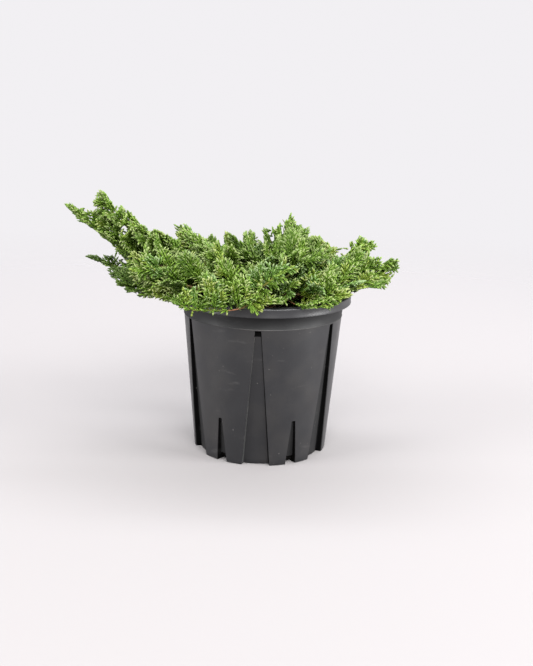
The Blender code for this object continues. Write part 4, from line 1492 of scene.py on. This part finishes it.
def picture_fans(name, carriers, rng):
    """One plume's sprays that end at a place in the picture, flat towards the camera, with their greens."""
    toward = -np.array(view_axes()[2])
    for owner, carrier, rows in PICTURE_SPRAYS:
        if owner != name:
            continue
        for share, *place, green in rows:
            root = share_point(carriers[carrier], share)[0]
            reach = from_picture(*place) - root
            length = float(np.linalg.norm(reach))
            heading = reach / length
            facing = toward + rng.normal(0, FACING_SPREAD, 3)
            yield Fan(root - toward * RIB_PROUD, heading, unit(np.cross(facing, heading)), length, 0.0), green


def make_plume(index, row, line, spaces, carriers, greens, woods):
    """One plume's leaves and its twigs, as two pieces that stand for its node."""
    name = row[0]
    rng = random.Random(SEED + index)
    dice = np.random.default_rng(SEED + index)
    cords = Cords()
    leafy_from = mix((BOUGH_LENGTH, length_of(line)), LEAFY_FROM)
    leafy_stem(cords, line, leafy_from, STEM_LEAF_STEP, MID, dice)
    twigs = stem_parts(line)
    for root, heading, flat, full, share, lift, placed in spray_roots(name, line, rng):
        green = green_of(name, share, lift, rng)
        for part in LENGTH_TRIES:
            if full * part < SHORTEST_SPRAY:
                break
            fan = Fan(root, heading, flat, full * part)
            if (placed or spaces.keeps(index, fan.samples())) and within_outline(fan.middle()).all():
                leaf_fan(cords, fan, green, dice)
                twigs.append((*shoot_tube(fan), GREEN_TWIG))
                break
    for fan, green in picture_fans(name, carriers, dice):
        leaf_fan(cords, fan, green, dice)
        twigs.append((*shoot_tube(fan), GREEN_TWIG))
    for stem, owner, _, _, _, _, bare, _ in SIDE_STEMS:
        if owner == name:
            side_stem = carriers[stem]
            leafy_from = bare * length_of(side_stem)
            leafy_stem(cords, side_stem, leafy_from, SIDE_STEM_LEAF_STEP, FRESH, dice)
    twigs += side_stem_parts(name, carriers)
    points, triangles, slots = cords.parts()
    leaves = add_triangles("leaves_" + name, points, triangles, greens, slots)
    points, triangles = joined([(p, t) for p, t, _ in twigs])
    slots = np.concatenate([np.full(len(t), slot) for _, t, slot in twigs])
    wood = add_triangles("twigs_" + name, points, triangles, woods, slots)
    wood.data.shade_smooth()
    for piece, slot in ((leaves, "scale_leaf"), (wood, "bark")):
        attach(piece, "root")
        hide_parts("plume_" + name)


def shown_length(line):
    """How much of a bough's line, from its foot, lies inside the crown's outline."""
    whole = length_of(line)
    along = np.arange(BOUGH_LENGTH, whole, 0.001)
    shown = along[within_outline(points_at(line, along))]
    return float(min(shown[-1] + 0.001, whole))


def stem_parts(line):
    """A plume's stem in three stretches: brown wood, tan wood, then green."""
    last = shown_length(line) - 0.004
    stops = (BOUGH_LENGTH - 0.001, mix((BOUGH_LENGTH, last), 0.25), mix((BOUGH_LENGTH, last), 0.50), last)
    parts = []
    for slot, (start, end) in enumerate(zip(stops, stops[1:])):
        wanted = np.linspace(start, end, max(4, int((end - start) / 0.0025)))
        radii = mix(STEM_RADII, (wanted - BOUGH_LENGTH) / (last - BOUGH_LENGTH))
        bark = STEM_RELIEF if slot < GREEN_TWIG else 0.0
        parts.append((*tube(points_at(line, wanted), radii, 7, bark, 3, start * 90), slot))
    return parts


def shoot_tube(fan):
    """The young twig along the middle of one spray."""
    at = np.linspace(-0.0004, 0.72 * fan.length, 6)
    return tube(fan.place(at), mix((0.00062, 0.00036), np.linspace(0, 1, 6)), 4)


def make_plumes(lines):
    greens, woods = leaf_materials(), twig_materials()
    spaces = Spaces(lines)
    carriers = side_stems(lines)
    for index, (row, line) in enumerate(zip(BOUGHS, lines)):
        make_plume(index, row, line, spaces, carriers, greens, woods)


def write_sizes():
    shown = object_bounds()
    boxes = {"cad": cad_box, "visual": shown}
    {name: [list(corner) for corner in box] for name, box in boxes.items()}


make_camera()
make_stage()
make_light()
make_pot()
make_mix(random.Random(SEED))
bough_lines = [bough_line(row) for row in BOUGHS]
make_limbs(bough_lines)
make_plumes(bough_lines)
write_sizes()
